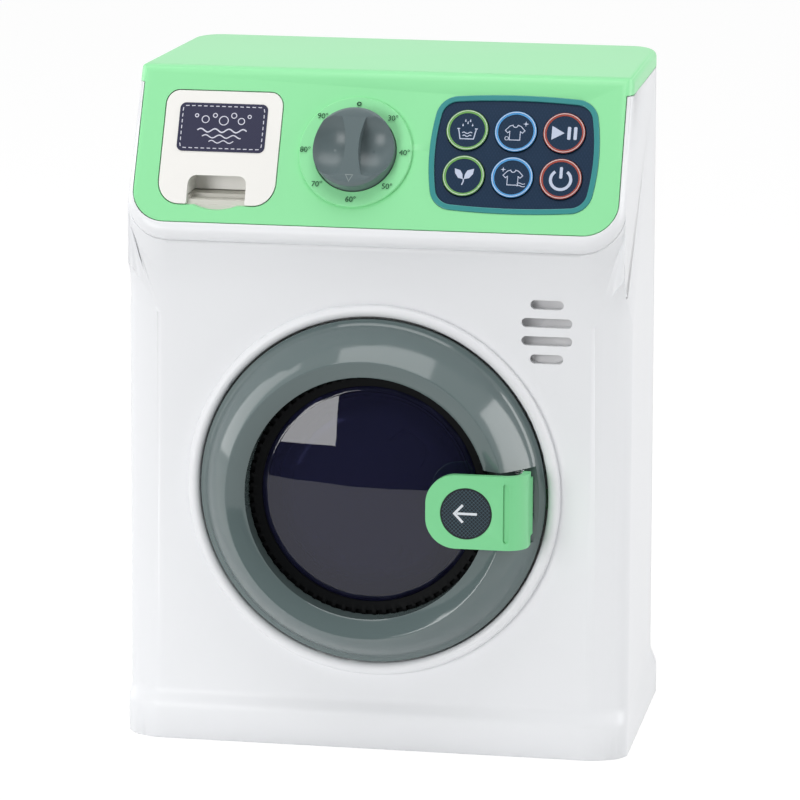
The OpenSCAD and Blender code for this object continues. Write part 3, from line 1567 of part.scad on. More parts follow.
// Two wires from the battery box to the main board
module battery_lead() {
  color("red") for (k = [0, 1]) let (dx = 2.4 * k)
    wire(concat([[battery_x + 12 + dx, front + body_d - 12, battery_top], [battery_x + 12 + dx, front + body_d - 12, 130],
      [-34 + dx, front + body_d - 14, 196], [socket_x[0] - 1.2 + dx, front + 62, 214]],
      to_board(socket_x[0] - 1.2 + dx)));
}

// Two wires from the motor to the main board
module motor_lead() {
  color("dimgray") for (k = [0, 1]) let (dx = 2.4 * k)
    wire(concat([[motor_p.x + 10 + dx - 6, front + cover_y + frame_t + 14, door_z + motor_p.y + 7.5],
      [motor_p.x + 4 + dx, front + cover_y + frame_t + 14, 190], [socket_x[1] - 1.2 + dx, front + 60, 214]],
      to_board(socket_x[1] - 1.2 + dx)));
}

// Two wires from the speaker to the main board
module speaker_lead() {
  color("black") for (k = [0, 1]) let (dx = 2.4 * k)
    wire(concat([[speaker_x + dx, front + wall + 13.45, speaker_z + 3], [speaker_x + dx, front + 26, speaker_z + 3],
      [socket_x[2] - 1.2 + dx, front + 34, 214]],
      to_board(socket_x[2] - 1.2 + dx)));
}

front_shell();
rear_shell();
base_plate();
control_panel();
keypad_rim();
keypad_sheet();
button_cap(0, "yellowgreen");  // button_soak
button_cap(1, "dodgerblue");  // button_shirt
button_cap(2, "tomato");  // button_play
button_cap(3, "yellowgreen");  // button_leaf
button_cap(4, "dodgerblue");  // button_fresh
button_cap(5, "tomato");  // button_power
key_mat();
main_board();
knob();
knob_spindle();
dial_encoder();
drawer_tray();
drawer_label();
drawer_housing();
speaker_frame();
speaker_cone();
door_ring();
door_inner_ring();
door_window();
door_back();
door_handle();
handle_badge();
latch_pin();
latch_spring();
hinge_bracket();
hinge_pin();
tub_front();
drum();
drum_shaft();
drum_gear();
shaft_bushes();
gear_frame();
idler_gear();
idler_axle();
motor();
motor_pinion();
gear_cover();
battery_box();
battery_cells();
battery_springs();
battery_cover();
cover_screw();
power_switch();
switch_slider();
shell_screws();
base_screws();
panel_screws();
drive_screws();
battery_lead();
motor_lead();
speaker_lead();
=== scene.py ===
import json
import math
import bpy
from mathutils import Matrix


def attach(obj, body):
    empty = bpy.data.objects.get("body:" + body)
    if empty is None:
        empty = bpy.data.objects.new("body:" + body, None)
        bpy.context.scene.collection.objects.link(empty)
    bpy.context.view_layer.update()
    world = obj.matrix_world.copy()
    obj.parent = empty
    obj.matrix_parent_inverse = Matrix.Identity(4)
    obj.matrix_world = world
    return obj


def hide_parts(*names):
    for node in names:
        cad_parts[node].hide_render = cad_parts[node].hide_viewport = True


bl_info = {
    "name": "Toy washing machine",
    "version": (1, 0, 0),
    "blender": (4, 5, 0),
    "location": "3D View > Sidebar > Washer",
    "description": "Moulded plastic, prints, smoked window and studio stage for a toy washing machine",
    "category": "Object",
}

import bmesh
import bpy
from mathutils import Matrix, Vector

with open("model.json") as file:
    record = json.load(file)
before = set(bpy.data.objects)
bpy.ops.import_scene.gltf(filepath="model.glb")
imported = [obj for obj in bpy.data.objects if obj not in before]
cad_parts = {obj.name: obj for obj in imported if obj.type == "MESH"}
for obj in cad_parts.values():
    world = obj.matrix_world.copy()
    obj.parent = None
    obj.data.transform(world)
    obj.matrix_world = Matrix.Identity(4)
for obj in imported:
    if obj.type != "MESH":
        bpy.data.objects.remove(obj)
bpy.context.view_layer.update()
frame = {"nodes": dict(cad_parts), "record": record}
BODY_OF = {node: body for body, nodes in frame["record"]["behaviour"]["bodies"].items() for node in nodes}

# Places and sizes in millimetres. FASCIA and DOOR carry marks that are drawn flat to the panel's slope and to
# the front of the door.
MM = 0.001
FRONT_Y = -50.55
FOOT_X = 107.2
HEAD_OUT, HEAD_Z = 8, 224
DOOR_Z = 111.5
WINDOW_R = 42
TILT = math.radians(26.8)
FASCIA = Matrix((
    (MM, 0, 0, 0),
    (0, MM * math.sin(TILT), -MM * math.cos(TILT), MM * (FRONT_Y - HEAD_OUT)),
    (0, MM * math.cos(TILT), MM * math.sin(TILT), MM * HEAD_Z),
    (0, 0, 0, 1),
))
DOOR = Matrix((
    (MM, 0, 0, 0),
    (0, 0, -MM, MM * FRONT_Y),
    (0, MM, 0, MM * DOOR_Z),
    (0, 0, 0, 1),
))
BADGE = (43.6, -2.2, 25.7)
DIAL = (-9.2, 32.2)
LABEL = (-66.5, 41.2)
KEYPAD = (57.0, 33.6)
BUTTONS = ("soak", "shirt", "play", "leaf", "fresh", "power")
BUTTON_SPOTS = {
    name: (KEYPAD[0] + (i % 3 - 1) * 20.2, KEYPAD[1] + (9.9 if i < 3 else -9.9))
    for i, name in enumerate(BUTTONS)
}

# Heights of the faces that are printed on, above the fascia
LABEL_FACE = 0.3
BUTTON_FACE = 0.4
RING_FACE = 0.8
DIAL_FACE = 2.1
KNOB_TOP = 9.5

# From where to where the sides lean in towards the back, and the front corners stand out
LEAN_X, LEAN_Z, LEAN_DEPTH = (86, 102), (120, 230), (14, 110)
CHEEK_X, CHEEK_DEPTH, CHEEK_FOOT, CHEEK_TOP = (97, 102), (8, 62), (10, 34), (170, 205)


def colour_of(name, what, default):
    return bpy.props.FloatVectorProperty(
        name=name, description=what, subtype="COLOR", size=3, min=0, max=1, default=default)


def length_of(name, what, low, high, default):
    return bpy.props.FloatProperty(
        name=name, description=what + ", in millimetres", min=low, max=high, default=default)


def power_of(name, what, default):
    return bpy.props.FloatProperty(
        name=name, description="Power of the lamp " + what, subtype="POWER", unit="POWER", min=0, max=100,
        default=default)


class CaseProps(bpy.types.PropertyGroup):
    white: colour_of("Case white", "Colour of the white mouldings", (0.79, 0.80, 0.82))
    green: colour_of("Panel green", "Colour of the control panel and lid", (0.275, 0.75, 0.36))
    edge: length_of("Edge rounding", "Radius of the small moulded edges", 0.05, 0.6, 0.22)
    draft: length_of("Draft", "How far each side leans in at the back", 0, 4, 2.6)
    cheek: length_of("Cheek", "How far the front corners of the case stand out below the panel", 0, 5, 3.4)
    shine: bpy.props.FloatProperty(
        name="Case roughness", description="Roughness of the white and green plastic",
        subtype="FACTOR", min=0.1, max=0.8, default=0.36)


class PanelProps(bpy.types.PropertyGroup):
    knob_grey: colour_of("Knob grey", "Colour of the dial knob", (0.120, 0.158, 0.165))
    navy: colour_of("Keypad navy", "Colour of the printed keypad", (0.004, 0.024, 0.058))
    teal: colour_of("Rim teal", "Colour of the keypad rim", (0.045, 0.27, 0.27))
    ring_green: colour_of("Green ring", "Ring of the left column of buttons", (0.16, 0.40, 0.10))
    ring_blue: colour_of("Blue ring", "Ring of the middle column of buttons", (0.08, 0.33, 0.68))
    ring_red: colour_of("Red ring", "Ring of the right column of buttons", (0.38, 0.065, 0.045))


class PrintProps(bpy.types.PropertyGroup):
    film: length_of("Ink height", "Thickness of the printed marks", 0.02, 0.2, 0.05)
    numeral: length_of("Numeral size", "Height of the type on the dial", 1.5, 4, 3.3)
    stitch: length_of("Stitch length", "Length of the printed stitches on the drawer label", 0.5, 3, 1.5)
    hatch: length_of("Hatch pitch", "Distance between the lines of the badge", 0.8, 3, 1.15)


class DoorProps(bpy.types.PropertyGroup):
    ring: colour_of("Door ring", "Colour of the door ring", (0.108, 0.145, 0.146))
    handle: colour_of("Handle green", "Colour of the latch handle", (0.19, 0.62, 0.28))
    smoke: colour_of("Window smoke", "Tint of the window", (0.045, 0.048, 0.125))


class StageProps(bpy.types.PropertyGroup):
    sky: bpy.props.FloatProperty(
        name="Room light", description="Strength of the even light of the room", min=0, max=2, default=0.35)
    key: power_of("Key lamp", "at the front left", 17.8)
    top: power_of("Top lamp", "overhead", 7.5)
    rim: power_of("Rim lamp", "behind at the left", 9.0)
    side: power_of("Side lamp", "at the right", 12.0)
    lens: length_of("Lens", "Focal length of the camera", 20, 400, 217.6)


def props(name):
    return getattr(bpy.context.scene, "washer_" + name)


def rgba(colour):
    return (colour[0], colour[1], colour[2], 1.0)


def fill(tree, node, inputs):
    """Links a node's inputs to sockets, or sets them to values"""
    for key, value in inputs.items():
        if isinstance(value, bpy.types.NodeSocket):
            tree.links.new(value, node.inputs[key])
        else:
            node.inputs[key].default_value = value


def add_node(tree, kind, x, y, inputs=None, **values):
    node = tree.nodes.new(kind)
    node.location = (x, y)
    for key, value in values.items():
        setattr(node, key, value)
    fill(tree, node, inputs or {})
    return node


def add_math(tree, operation, x, y, *terms, **values):
    node = add_node(tree, "ShaderNodeMath", x, y, dict(enumerate(terms)), operation=operation, **values)
    return node.outputs[0]


def new_group(name, kind, inputs, outputs, left):
    """A node group with named sockets: its tree and the sockets that come in"""
    tree = bpy.data.node_groups.new(name, kind)
    for value, label, default in inputs:
        socket = tree.interface.new_socket(label, in_out="INPUT", socket_type="NodeSocket" + value)
        if default is not None:
            socket.default_value = default
    for value, label in outputs:
        tree.interface.new_socket(label, in_out="OUTPUT", socket_type="NodeSocket" + value)
    return tree, add_node(tree, "NodeGroupInput", left, 0).outputs


def moulded_skin():
    """Shader group: soft clouds in colour and roughness, and the fine grain of moulded plastic"""
    found = bpy.data.node_groups.get("moulded_skin")
    if found:
        return found
    tree, given = new_group("moulded_skin", "ShaderNodeTree", (
        ("Color", "Color", (0.8, 0.8, 0.8, 1)), ("Float", "Tone", 0.03), ("Float", "Grain Scale", 900.0),
        ("Float", "Cloud Scale", 14.0), ("Float", "Roughness", 0.35), ("Float", "Roughness Spread", 0.08),
    ), (("Color", "Color"), ("Float", "Roughness"), ("Float", "Height")), -900)
    place = add_node(tree, "ShaderNodeTexCoord", -900, -300).outputs["Object"]
    clouds = add_node(tree, "ShaderNodeTexNoise", -600, 200,
                      {"Detail": 3, "Vector": place, "Scale": given["Cloud Scale"]})
    grain = add_node(tree, "ShaderNodeTexNoise", -600, -300,
                     {"Detail": 2, "Vector": place, "Scale": given["Grain Scale"]})
    centred = add_math(tree, "SUBTRACT", -380, 200, clouds.outputs["Fac"], 0.5)
    tone = add_math(tree, "MULTIPLY", -180, 300, centred, given["Tone"])
    gain = add_math(tree, "ADD", 0, 300, tone, 1.0)
    tint = add_node(tree, "ShaderNodeVectorMath", 200, 300, {0: given["Color"], "Scale": gain},
                    operation="SCALE")
    spread = add_math(tree, "MULTIPLY_ADD", 0, 0, centred, given["Roughness Spread"], given["Roughness"])
    add_node(tree, "NodeGroupOutput", 700, 0,
             {"Color": tint.outputs[0], "Roughness": spread, "Height": grain.outputs["Fac"]})
    return tree


def denim_print():
    """Shader group: printed cloth pattern of fine crossing threads"""
    found = bpy.data.node_groups.get("denim_print")
    if found:
        return found
    tree, given = new_group("denim_print", "ShaderNodeTree", (
        ("Color", "Dark", (0.01, 0.02, 0.06, 1)), ("Color", "Light", (0.03, 0.06, 0.15, 1)),
        ("Float", "Thread Scale", 1100.0), ("Float", "Turn", 0.0),
    ), (("Color", "Color"), ("Float", "Height")), -1100)
    place = add_node(tree, "ShaderNodeTexCoord", -1100, -250)
    turn = add_node(tree, "ShaderNodeVectorRotate", -900, -150,
                    {"Vector": place.outputs["Object"], "Angle": given["Turn"]}, rotation_type="X_AXIS")
    waves = []
    for i, angle in enumerate((0.7854, -0.7854)):
        spin = add_node(tree, "ShaderNodeVectorRotate", -700, -300 * i,
                        {"Angle": angle, "Vector": turn.outputs[0]}, rotation_type="Y_AXIS")
        wave = add_node(tree, "ShaderNodeTexWave", -500, -300 * i, {
            "Distortion": 1.2, "Detail": 1.0, "Vector": spin.outputs[0], "Scale": given["Thread Scale"],
        }, bands_direction="X")
        waves.append(wave.outputs["Fac"])
    weave = add_math(tree, "MULTIPLY", -250, -100, *waves)
    speck = add_node(tree, "ShaderNodeTexNoise", -500, 250, {"Scale": 1500, "Vector": turn.outputs[0]})
    both = add_math(tree, "MULTIPLY", -50, 0, weave, speck.outputs["Fac"])
    lift = add_math(tree, "MULTIPLY", 130, 0, both, 2.2, use_clamp=True)
    mix = add_node(tree, "ShaderNodeMix", 350, 100,
                   {"Factor": lift, 6: given["Dark"], 7: given["Light"]}, data_type="RGBA")
    add_node(tree, "NodeGroupOutput", 700, 0, {"Color": mix.outputs[2], "Height": weave})
    return tree


def new_material(name):
    material = bpy.data.materials.new(name)
    material.use_nodes = True
    tree = material.node_tree
    return material, tree, tree.nodes["Principled BSDF"]


def plastic(name, colour, roughness=0.36, tone=0.02, grain=900.0, cloud=14.0, spread=0.05, bump=0.03,
            coat=0.0, specular=0.5, metallic=0.0):
    """Moulded plastic, rubber or metal from the shared skin group"""
    found = bpy.data.materials.get(name)
    if found:
        return found
    material, tree, shader = new_material(name)
    skin = add_node(tree, "ShaderNodeGroup", -400, 0, {
        "Color": rgba(colour), "Tone": tone, "Grain Scale": grain, "Cloud Scale": cloud,
        "Roughness": roughness, "Roughness Spread": spread,
    }, node_tree=moulded_skin())
    relief = add_node(tree, "ShaderNodeBump", -180, -250,
                      {"Strength": bump, "Distance": 0.0002, "Height": skin.outputs["Height"]})
    fill(tree, shader, {
        "Base Color": skin.outputs["Color"], "Roughness": skin.outputs["Roughness"],
        "Normal": relief.outputs["Normal"], "Specular IOR Level": specular,
        "Coat Weight": coat, "Coat Roughness": 0.08, "Metallic": metallic,
    })
    material.diffuse_color = rgba(colour)
    return material


def printed_cloth(name, dark, light, scale, turn, roughness):
    """Navy print with a cloth pattern, under a thin clear film"""
    material, tree, shader = new_material(name)
    cloth = add_node(tree, "ShaderNodeGroup", -400, 0, {
        "Dark": rgba(dark), "Light": rgba(light), "Thread Scale": scale, "Turn": turn,
    }, node_tree=denim_print())
    relief = add_node(tree, "ShaderNodeBump", -180, -250,
                      {"Strength": 0.04, "Distance": 0.0001, "Height": cloth.outputs["Height"]})
    fill(tree, shader, {
        "Base Color": cloth.outputs["Color"], "Normal": relief.outputs["Normal"],
        "Roughness": roughness, "Specular IOR Level": 0.4,
    })
    return material


def smoked_window():
    material, tree, shader = new_material("smoked window")
    skin = add_node(tree, "ShaderNodeGroup", -400, 0, {
        "Color": rgba(props("door").smoke), "Tone": 0.0, "Roughness": 0.012, "Roughness Spread": 0.0,
    }, node_tree=moulded_skin())
    fill(tree, shader, {
        "Base Color": skin.outputs["Color"], "Roughness": skin.outputs["Roughness"],
        "Transmission Weight": 0.82, "IOR": 1.49,
    })
    return material


def ink(name, colour):
    return plastic(name, colour, roughness=0.45, tone=0.06, grain=2500.0, cloud=300.0, bump=0.02,
                   specular=0.35)


def case_white():
    return plastic("case white", props("case").white, roughness=props("case").shine, tone=0.012, cloud=9.0)


def mint_green():
    return plastic("panel green", props("case").green, roughness=props("case").shine, tone=0.02, cloud=11.0)


def inner_white():
    return plastic("inner white", (0.74, 0.74, 0.73), roughness=0.45)


def encoder_black():
    return plastic("encoder black", (0.02, 0.02, 0.022), roughness=0.45)


def screw_steel():
    return plastic("screw steel", (0.55, 0.56, 0.58), roughness=0.3, tone=0.08, cloud=300, metallic=1.0)


def pin_steel():
    return plastic("pin steel", (0.6, 0.61, 0.63), roughness=0.25, metallic=1.0)


def brass(name):
    return plastic(name, (0.6, 0.42, 0.16), roughness=0.3, metallic=1.0)


def place_piece(obj, matrix):
    obj.data.transform(matrix)
    obj.data.update()


def finish_piece(obj, body, replaced=()):
    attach(obj, body)
    if replaced:
        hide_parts(*replaced)
    return obj


def object_from(bm, name, materials, smooth=35):
    mesh = bpy.data.meshes.new(name)
    for face in bm.faces:
        face.smooth = True
    bm.to_mesh(mesh)
    bm.free()
    mesh.set_sharp_from_angle(angle=math.radians(smooth))
    for material in materials:
        mesh.materials.append(material)
    obj = bpy.data.objects.new(name, mesh)
    bpy.context.scene.collection.objects.link(obj)
    return obj


def ramp(value, low, high):
    t = min(1.0, max(0.0, (value - low) / (high - low)))
    return t * t * (3 - 2 * t)


def draw_in(bm, cheeks):
    """Moulding draft: the sides lean in towards the back, and the case's front corners stand out a little"""
    draft, cheek = props("case").draft, props("case").cheek
    near, far = LEAN_DEPTH
    for v in bm.verts:
        x, depth, z = abs(v.co.x) / MM, v.co.y / MM - FRONT_Y, v.co.z / MM
        run = min(1.0, max(0.0, (depth - near) / (far - near)))
        move = -draft * (0.5 + 0.5 * ramp(z, *LEAN_Z)) * ramp(x, *LEAN_X) * run
        if cheeks:
            upright = (1 - ramp(z, *CHEEK_TOP)) * (0.5 + 0.5 * ramp(z, *CHEEK_FOOT))
            move += cheek * (1 - ramp(depth, *CHEEK_DEPTH)) * ramp(x, *CHEEK_X) * upright
            move = min(move, max(0.0, FOOT_X - x))
        v.co.x += math.copysign(MM, v.co.x) * move


def dress(node, materials, edge=None, pick=None, smooth=32, segments=2, draft=False):
    """A merged copy of a CAD node with moulded edges, which stands for the node"""
    bm = bmesh.new()
    bm.from_mesh(frame["nodes"][node].data)
    bmesh.ops.remove_doubles(bm, verts=bm.verts, dist=2e-6)
    bmesh.ops.dissolve_degenerate(bm, edges=bm.edges, dist=2e-6)
    bmesh.ops.dissolve_limit(bm, angle_limit=math.radians(0.4), verts=bm.verts, edges=bm.edges)
    for face in bm.faces:
        face.material_index = pick(face) if pick else 0
    if draft:
        draw_in(bm, draft == "cheeks")
    obj = object_from(bm, node + "_moulding", materials, smooth)
    width = (props("case").edge if edge is None else edge) * MM
    if width > 0:
        bevel = obj.modifiers.new("Moulded edge", "BEVEL")
        bevel.width = width
        bevel.segments = segments
        bevel.limit_method = "ANGLE"
        bevel.angle_limit = math.radians(38)
        bevel.use_clamp_overlap = True
        bevel.miter_outer = "MITER_ARC"
        bevel.harden_normals = True
        bevel.material = -1
    return finish_piece(obj, BODY_OF[node], (node,))


def repaint(material, *nodes):
    """Better finish on CAD nodes that keep their shape"""
    for node in nodes:
        for slot in frame["nodes"][node].material_slots:
            slot.material = material


def outline_ribbon(points, width, closed=False):
    """The two rails of a flat ribbon along a line of points"""
    n = len(points)
    left, right = [], []
    for i, p in enumerate(points):
        a = points[(i - 1) % n] if closed or i > 0 else p
        b = points[(i + 1) % n] if closed or i < n - 1 else p
        d1 = (p - a).normalized() if (p - a).length > 1e-9 else (b - p).normalized()
        d2 = (b - p).normalized() if (b - p).length > 1e-9 else d1
        n1, n2 = Vector((-d1.y, d1.x)), Vector((-d2.y, d2.x))
        m = (n1 + n2).normalized()
        reach = width / 2 / max(0.5, m.dot(n1))
        left.append(p + m * reach)
        right.append(p - m * reach)
    return left, right


class Ink:
    """Flat marks in millimetres, made into one thin raised print"""

    def __init__(self):
        self.bm = bmesh.new()

    def _vert(self, p):
        return self.bm.verts.new((p[0], p[1], 0))

    def area(self, points):
        self.bm.faces.new([self._vert(p) for p in points])

    def stroke(self, points, width, closed=False):
        points = [Vector(p) for p in points]
        left, right = outline_ribbon(points, width, closed)
        lv = [self._vert(p) for p in left]
        rv = [self._vert(p) for p in right]
        n = len(points)
        for i in range(n if closed else n - 1):
            j = (i + 1) % n
            self.bm.faces.new((lv[i], rv[i], rv[j], lv[j]))

    def ring(self, c, r, width, n=40, a0=0.0, a1=360.0):
        closed = abs(a1 - a0) >= 360
        points = arc_points(c, r, a0, a1, n)
        self.stroke(points[:-1] if closed else points, width, closed)

    def piece(self, name, material, matrix, base, body):
        bm = self.bm
        bmesh.ops.remove_doubles(bm, verts=bm.verts, dist=1e-5)
        bmesh.ops.recalc_face_normals(bm, faces=bm.faces)
        for face in bm.faces:
            if face.normal.z < 0:
                face.normal_flip()
        made = bmesh.ops.extrude_face_region(bm, geom=list(bm.faces), use_keep_orig=True)
        for v in made["geom"]:
            if isinstance(v, bmesh.types.BMVert):
                v.co.z = props("prints").film
        bmesh.ops.recalc_face_normals(bm, faces=bm.faces)
        obj = object_from(bm, name, [material])
        place_piece(obj, matrix @ Matrix.Translation((0, 0, base)))
        return finish_piece(obj, body)


def arc_points(c, r, a0, a1, n):
    return [(c[0] + r * math.cos(math.radians(a0 + (a1 - a0) * i / n)),
             c[1] + r * math.sin(math.radians(a0 + (a1 - a0) * i / n))) for i in range(n + 1)]


def rounded_box(c, w, h, r, n=6):
    points = []
    for x, y, a in ((1, -1, -90), (1, 1, 0), (-1, 1, 90), (-1, -1, 180)):
        points += arc_points((c[0] + x * (w / 2 - r), c[1] + y * (h / 2 - r)), r, a, a + 90, n)
    return points


def wave_line(c, w, h, turns, n=24):
    return [(c[0] - w / 2 + w * i / n, c[1] + h / 2 * math.sin(2 * math.pi * turns * i / n))
            for i in range(n + 1)]


def shirt_outline(c, k):
    half = [(1.0, 3.1), (2.2, 2.7), (3.9, 0.9), (2.9, -0.1), (2.1, 0.55), (2.1, -3.0)]
    neck = arc_points((0, 3.2), 1.0, 180, 360, 8)
    points = [(-x, y) for x, y in reversed(half)] + neck[1:-1] + half
    return [(c[0] + x * k, c[1] + y * k) for x, y in points]


def text_mesh(body, size, name):
    curve = bpy.data.curves.new(name, "FONT")
    curve.body = body
    curve.size = size
    curve.align_x = "CENTER"
    curve.align_y = "CENTER"
    curve.extrude = 0.5
    curve.resolution_u = 4
    obj = bpy.data.objects.new(name, curve)
    bpy.context.scene.collection.objects.link(obj)
    bpy.context.view_layer.update()
    mesh = bpy.data.meshes.new_from_object(obj.evaluated_get(bpy.context.evaluated_depsgraph_get()))
    bpy.data.objects.remove(obj)
    bpy.data.curves.remove(curve)
    return mesh


def end_instances(tree, instances, material, x, y):
    """Makes the instances real, paints them and puts them out"""
    real = add_node(tree, "GeometryNodeRealizeInstances", x, y, {"Geometry": instances})
    paint = add_node(tree, "GeometryNodeSetMaterial", x + 200, y,
                     {"Geometry": real.outputs["Geometry"], "Material": material})
    add_node(tree, "NodeGroupOutput", x + 400, y, {"Geometry": paint.outputs["Geometry"]})


def stitch_tree():
    """Geometry Nodes: short raised stitches along an outline"""
    tree, given = new_group("stitch_row", "GeometryNodeTree", (
        ("Geometry", "Outline", None), ("Float", "Stitch Length", 0.0015), ("Float", "Stitch Width", 0.0004),
        ("Float", "Stitch Height", 0.00008), ("Float", "Pitch", 0.0027), ("Material", "Thread", None),
    ), (("Geometry", "Geometry"),), -900)
    curve = add_node(tree, "GeometryNodeMeshToCurve", -700, 100, {"Mesh": given["Outline"]})
    points = add_node(tree, "GeometryNodeCurveToPoints", -500, 100,
                      {"Curve": curve.outputs["Curve"], "Length": given["Pitch"]}, mode="LENGTH")
    size = add_node(tree, "ShaderNodeCombineXYZ", -700, -250,
                    {"X": given["Stitch Width"], "Y": given["Stitch Height"], "Z": given["Stitch Length"]})
    bar = add_node(tree, "GeometryNodeMeshCube", -500, -250, {"Size": size.outputs[0]})
    put = add_node(tree, "GeometryNodeInstanceOnPoints", -200, 0, {
        "Points": points.outputs["Points"], "Instance": bar.outputs["Mesh"],
        "Rotation": points.outputs["Rotation"],
    })
    end_instances(tree, put.outputs["Instances"], given["Thread"], 100, 0)
    return tree


def hatch_tree():
    """Geometry Nodes: parallel bars cut to the chords of a disc, in one direction"""
    tree, given = new_group("hatch_lines", "GeometryNodeTree", (
        ("Geometry", "Seed", None), ("Float", "Radius", 10.0), ("Float", "Pitch", 1.2),
        ("Float", "Line Width", 0.14), ("Float", "Line Height", 0.04), ("Float", "Turn", 0.785),
        ("Int", "Lines", 16), ("Material", "Line", None),
    ), (("Geometry", "Geometry"),), -1300)
    step = add_node(tree, "ShaderNodeCombineXYZ", -900, 300, {"Y": given["Pitch"]})
    count = add_math(tree, "SUBTRACT", -1100, 500, given["Lines"], 1)
    half = add_math(tree, "MULTIPLY", -900, 500, count, -0.5)
    first = add_math(tree, "MULTIPLY", -700, 500, half, given["Pitch"])
    origin = add_node(tree, "ShaderNodeCombineXYZ", -500, 500, {"Y": first})
    row = add_node(tree, "GeometryNodeMeshLine", -300, 300, {
        "Count": given["Lines"], "Start Location": origin.outputs[0], "Offset": step.outputs[0],
    }, mode="OFFSET")
    where = add_node(tree, "GeometryNodeInputPosition", -900, -300)
    off = add_node(tree, "ShaderNodeSeparateXYZ", -700, -300, {0: where.outputs[0]}).outputs["Y"]
    off2 = add_math(tree, "MULTIPLY", -500, -300, off, off)
    rad2 = add_math(tree, "MULTIPLY", -500, -100, given["Radius"], given["Radius"])
    rest = add_math(tree, "SUBTRACT", -300, -200, rad2, off2)
    above = add_math(tree, "MAXIMUM", -100, -200, rest, 0.0001)
    root = add_math(tree, "SQRT", 60, -200, above)
    chord = add_math(tree, "MULTIPLY", 220, -200, root, 2.0)
    size = add_node(tree, "ShaderNodeCombineXYZ", 380, -200,
                    {"X": chord, "Y": given["Line Width"], "Z": given["Line Height"]})
    bar = add_node(tree, "GeometryNodeMeshCube", -100, 100, {"Size": (1, 1, 1)})
    put = add_node(tree, "GeometryNodeInstanceOnPoints", 120, 250, {
        "Points": row.outputs["Mesh"], "Instance": bar.outputs["Mesh"], "Scale": size.outputs[0],
    })
    spin = add_node(tree, "ShaderNodeCombineXYZ", 120, 450, {"Z": given["Turn"]})
    turn = add_node(tree, "GeometryNodeTransform", 320, 250,
                    {"Geometry": put.outputs["Instances"], "Rotation": spin.outputs[0]})
    end_instances(tree, turn.outputs["Geometry"], given["Line"], 500, 250)
    return tree


def run_tree(tree, values, name, matrix, points=(), closed=True):
    """Runs a Geometry Nodes tree on a line of points and gives back a plain mesh object"""
    mesh = bpy.data.meshes.new(name + " line")
    n = len(points)
    edges = [(i, (i + 1) % n) for i in range(n if closed else n - 1)]
    mesh.from_pydata([(p[0], p[1], 0) for p in points], edges, [])
    carrier = bpy.data.objects.new(name + " line", mesh)
    bpy.context.scene.collection.objects.link(carrier)
    modifier = carrier.modifiers.new("Nodes", "NODES")
    modifier.node_group = tree
    for item in tree.interface.items_tree:
        if item.item_type == "SOCKET" and item.in_out == "INPUT" and item.name in values:
            modifier[item.identifier] = values[item.name]
    bpy.context.view_layer.update()
    made = bpy.data.meshes.new_from_object(carrier.evaluated_get(bpy.context.evaluated_depsgraph_get()))
    bpy.data.objects.remove(carrier)
    made.name = name
    obj = bpy.data.objects.new(name, made)
    bpy.context.scene.collection.objects.link(obj)
    place_piece(obj, matrix)
    return obj


class WASHER_OT_case(bpy.types.Operator):
    """Moulds the white case and its base, and finishes the screws"""
    bl_idname = "washer.case"
    bl_label = "Case"

    def execute(self, context):
        white = case_white()
        dress("front_shell", [white], smooth=50, draft="cheeks")
        dress("rear_shell", [white], draft=True)
        dress("base_plate", [plastic("base plate", (0.62, 0.63, 0.64), roughness=0.5, grain=1400, bump=0.06)],
              edge=0.3, draft=True)
        repaint(screw_steel(), "shell_screws", "base_screws", "panel_screws", "drive_screws")
        return {"FINISHED"}


class WASHER_OT_panel(bpy.types.Operator):
    """Moulds the green control panel with its lid"""
    bl_idname = "washer.panel"
    bl_label = "Control panel"

    def execute(self, context):
        dress("control_panel", [mint_green()], draft=True)
        lacquer = plastic("board lacquer", (0.02, 0.12, 0.04), roughness=0.35, tone=0.3, cloud=400)
        repaint(lacquer, "main_board")
        silicone = plastic("key mat silicone", (0.06, 0.065, 0.07), roughness=0.6, grain=1600, bump=0.1)
        repaint(silicone, "key_mat")
        return {"FINISHED"}


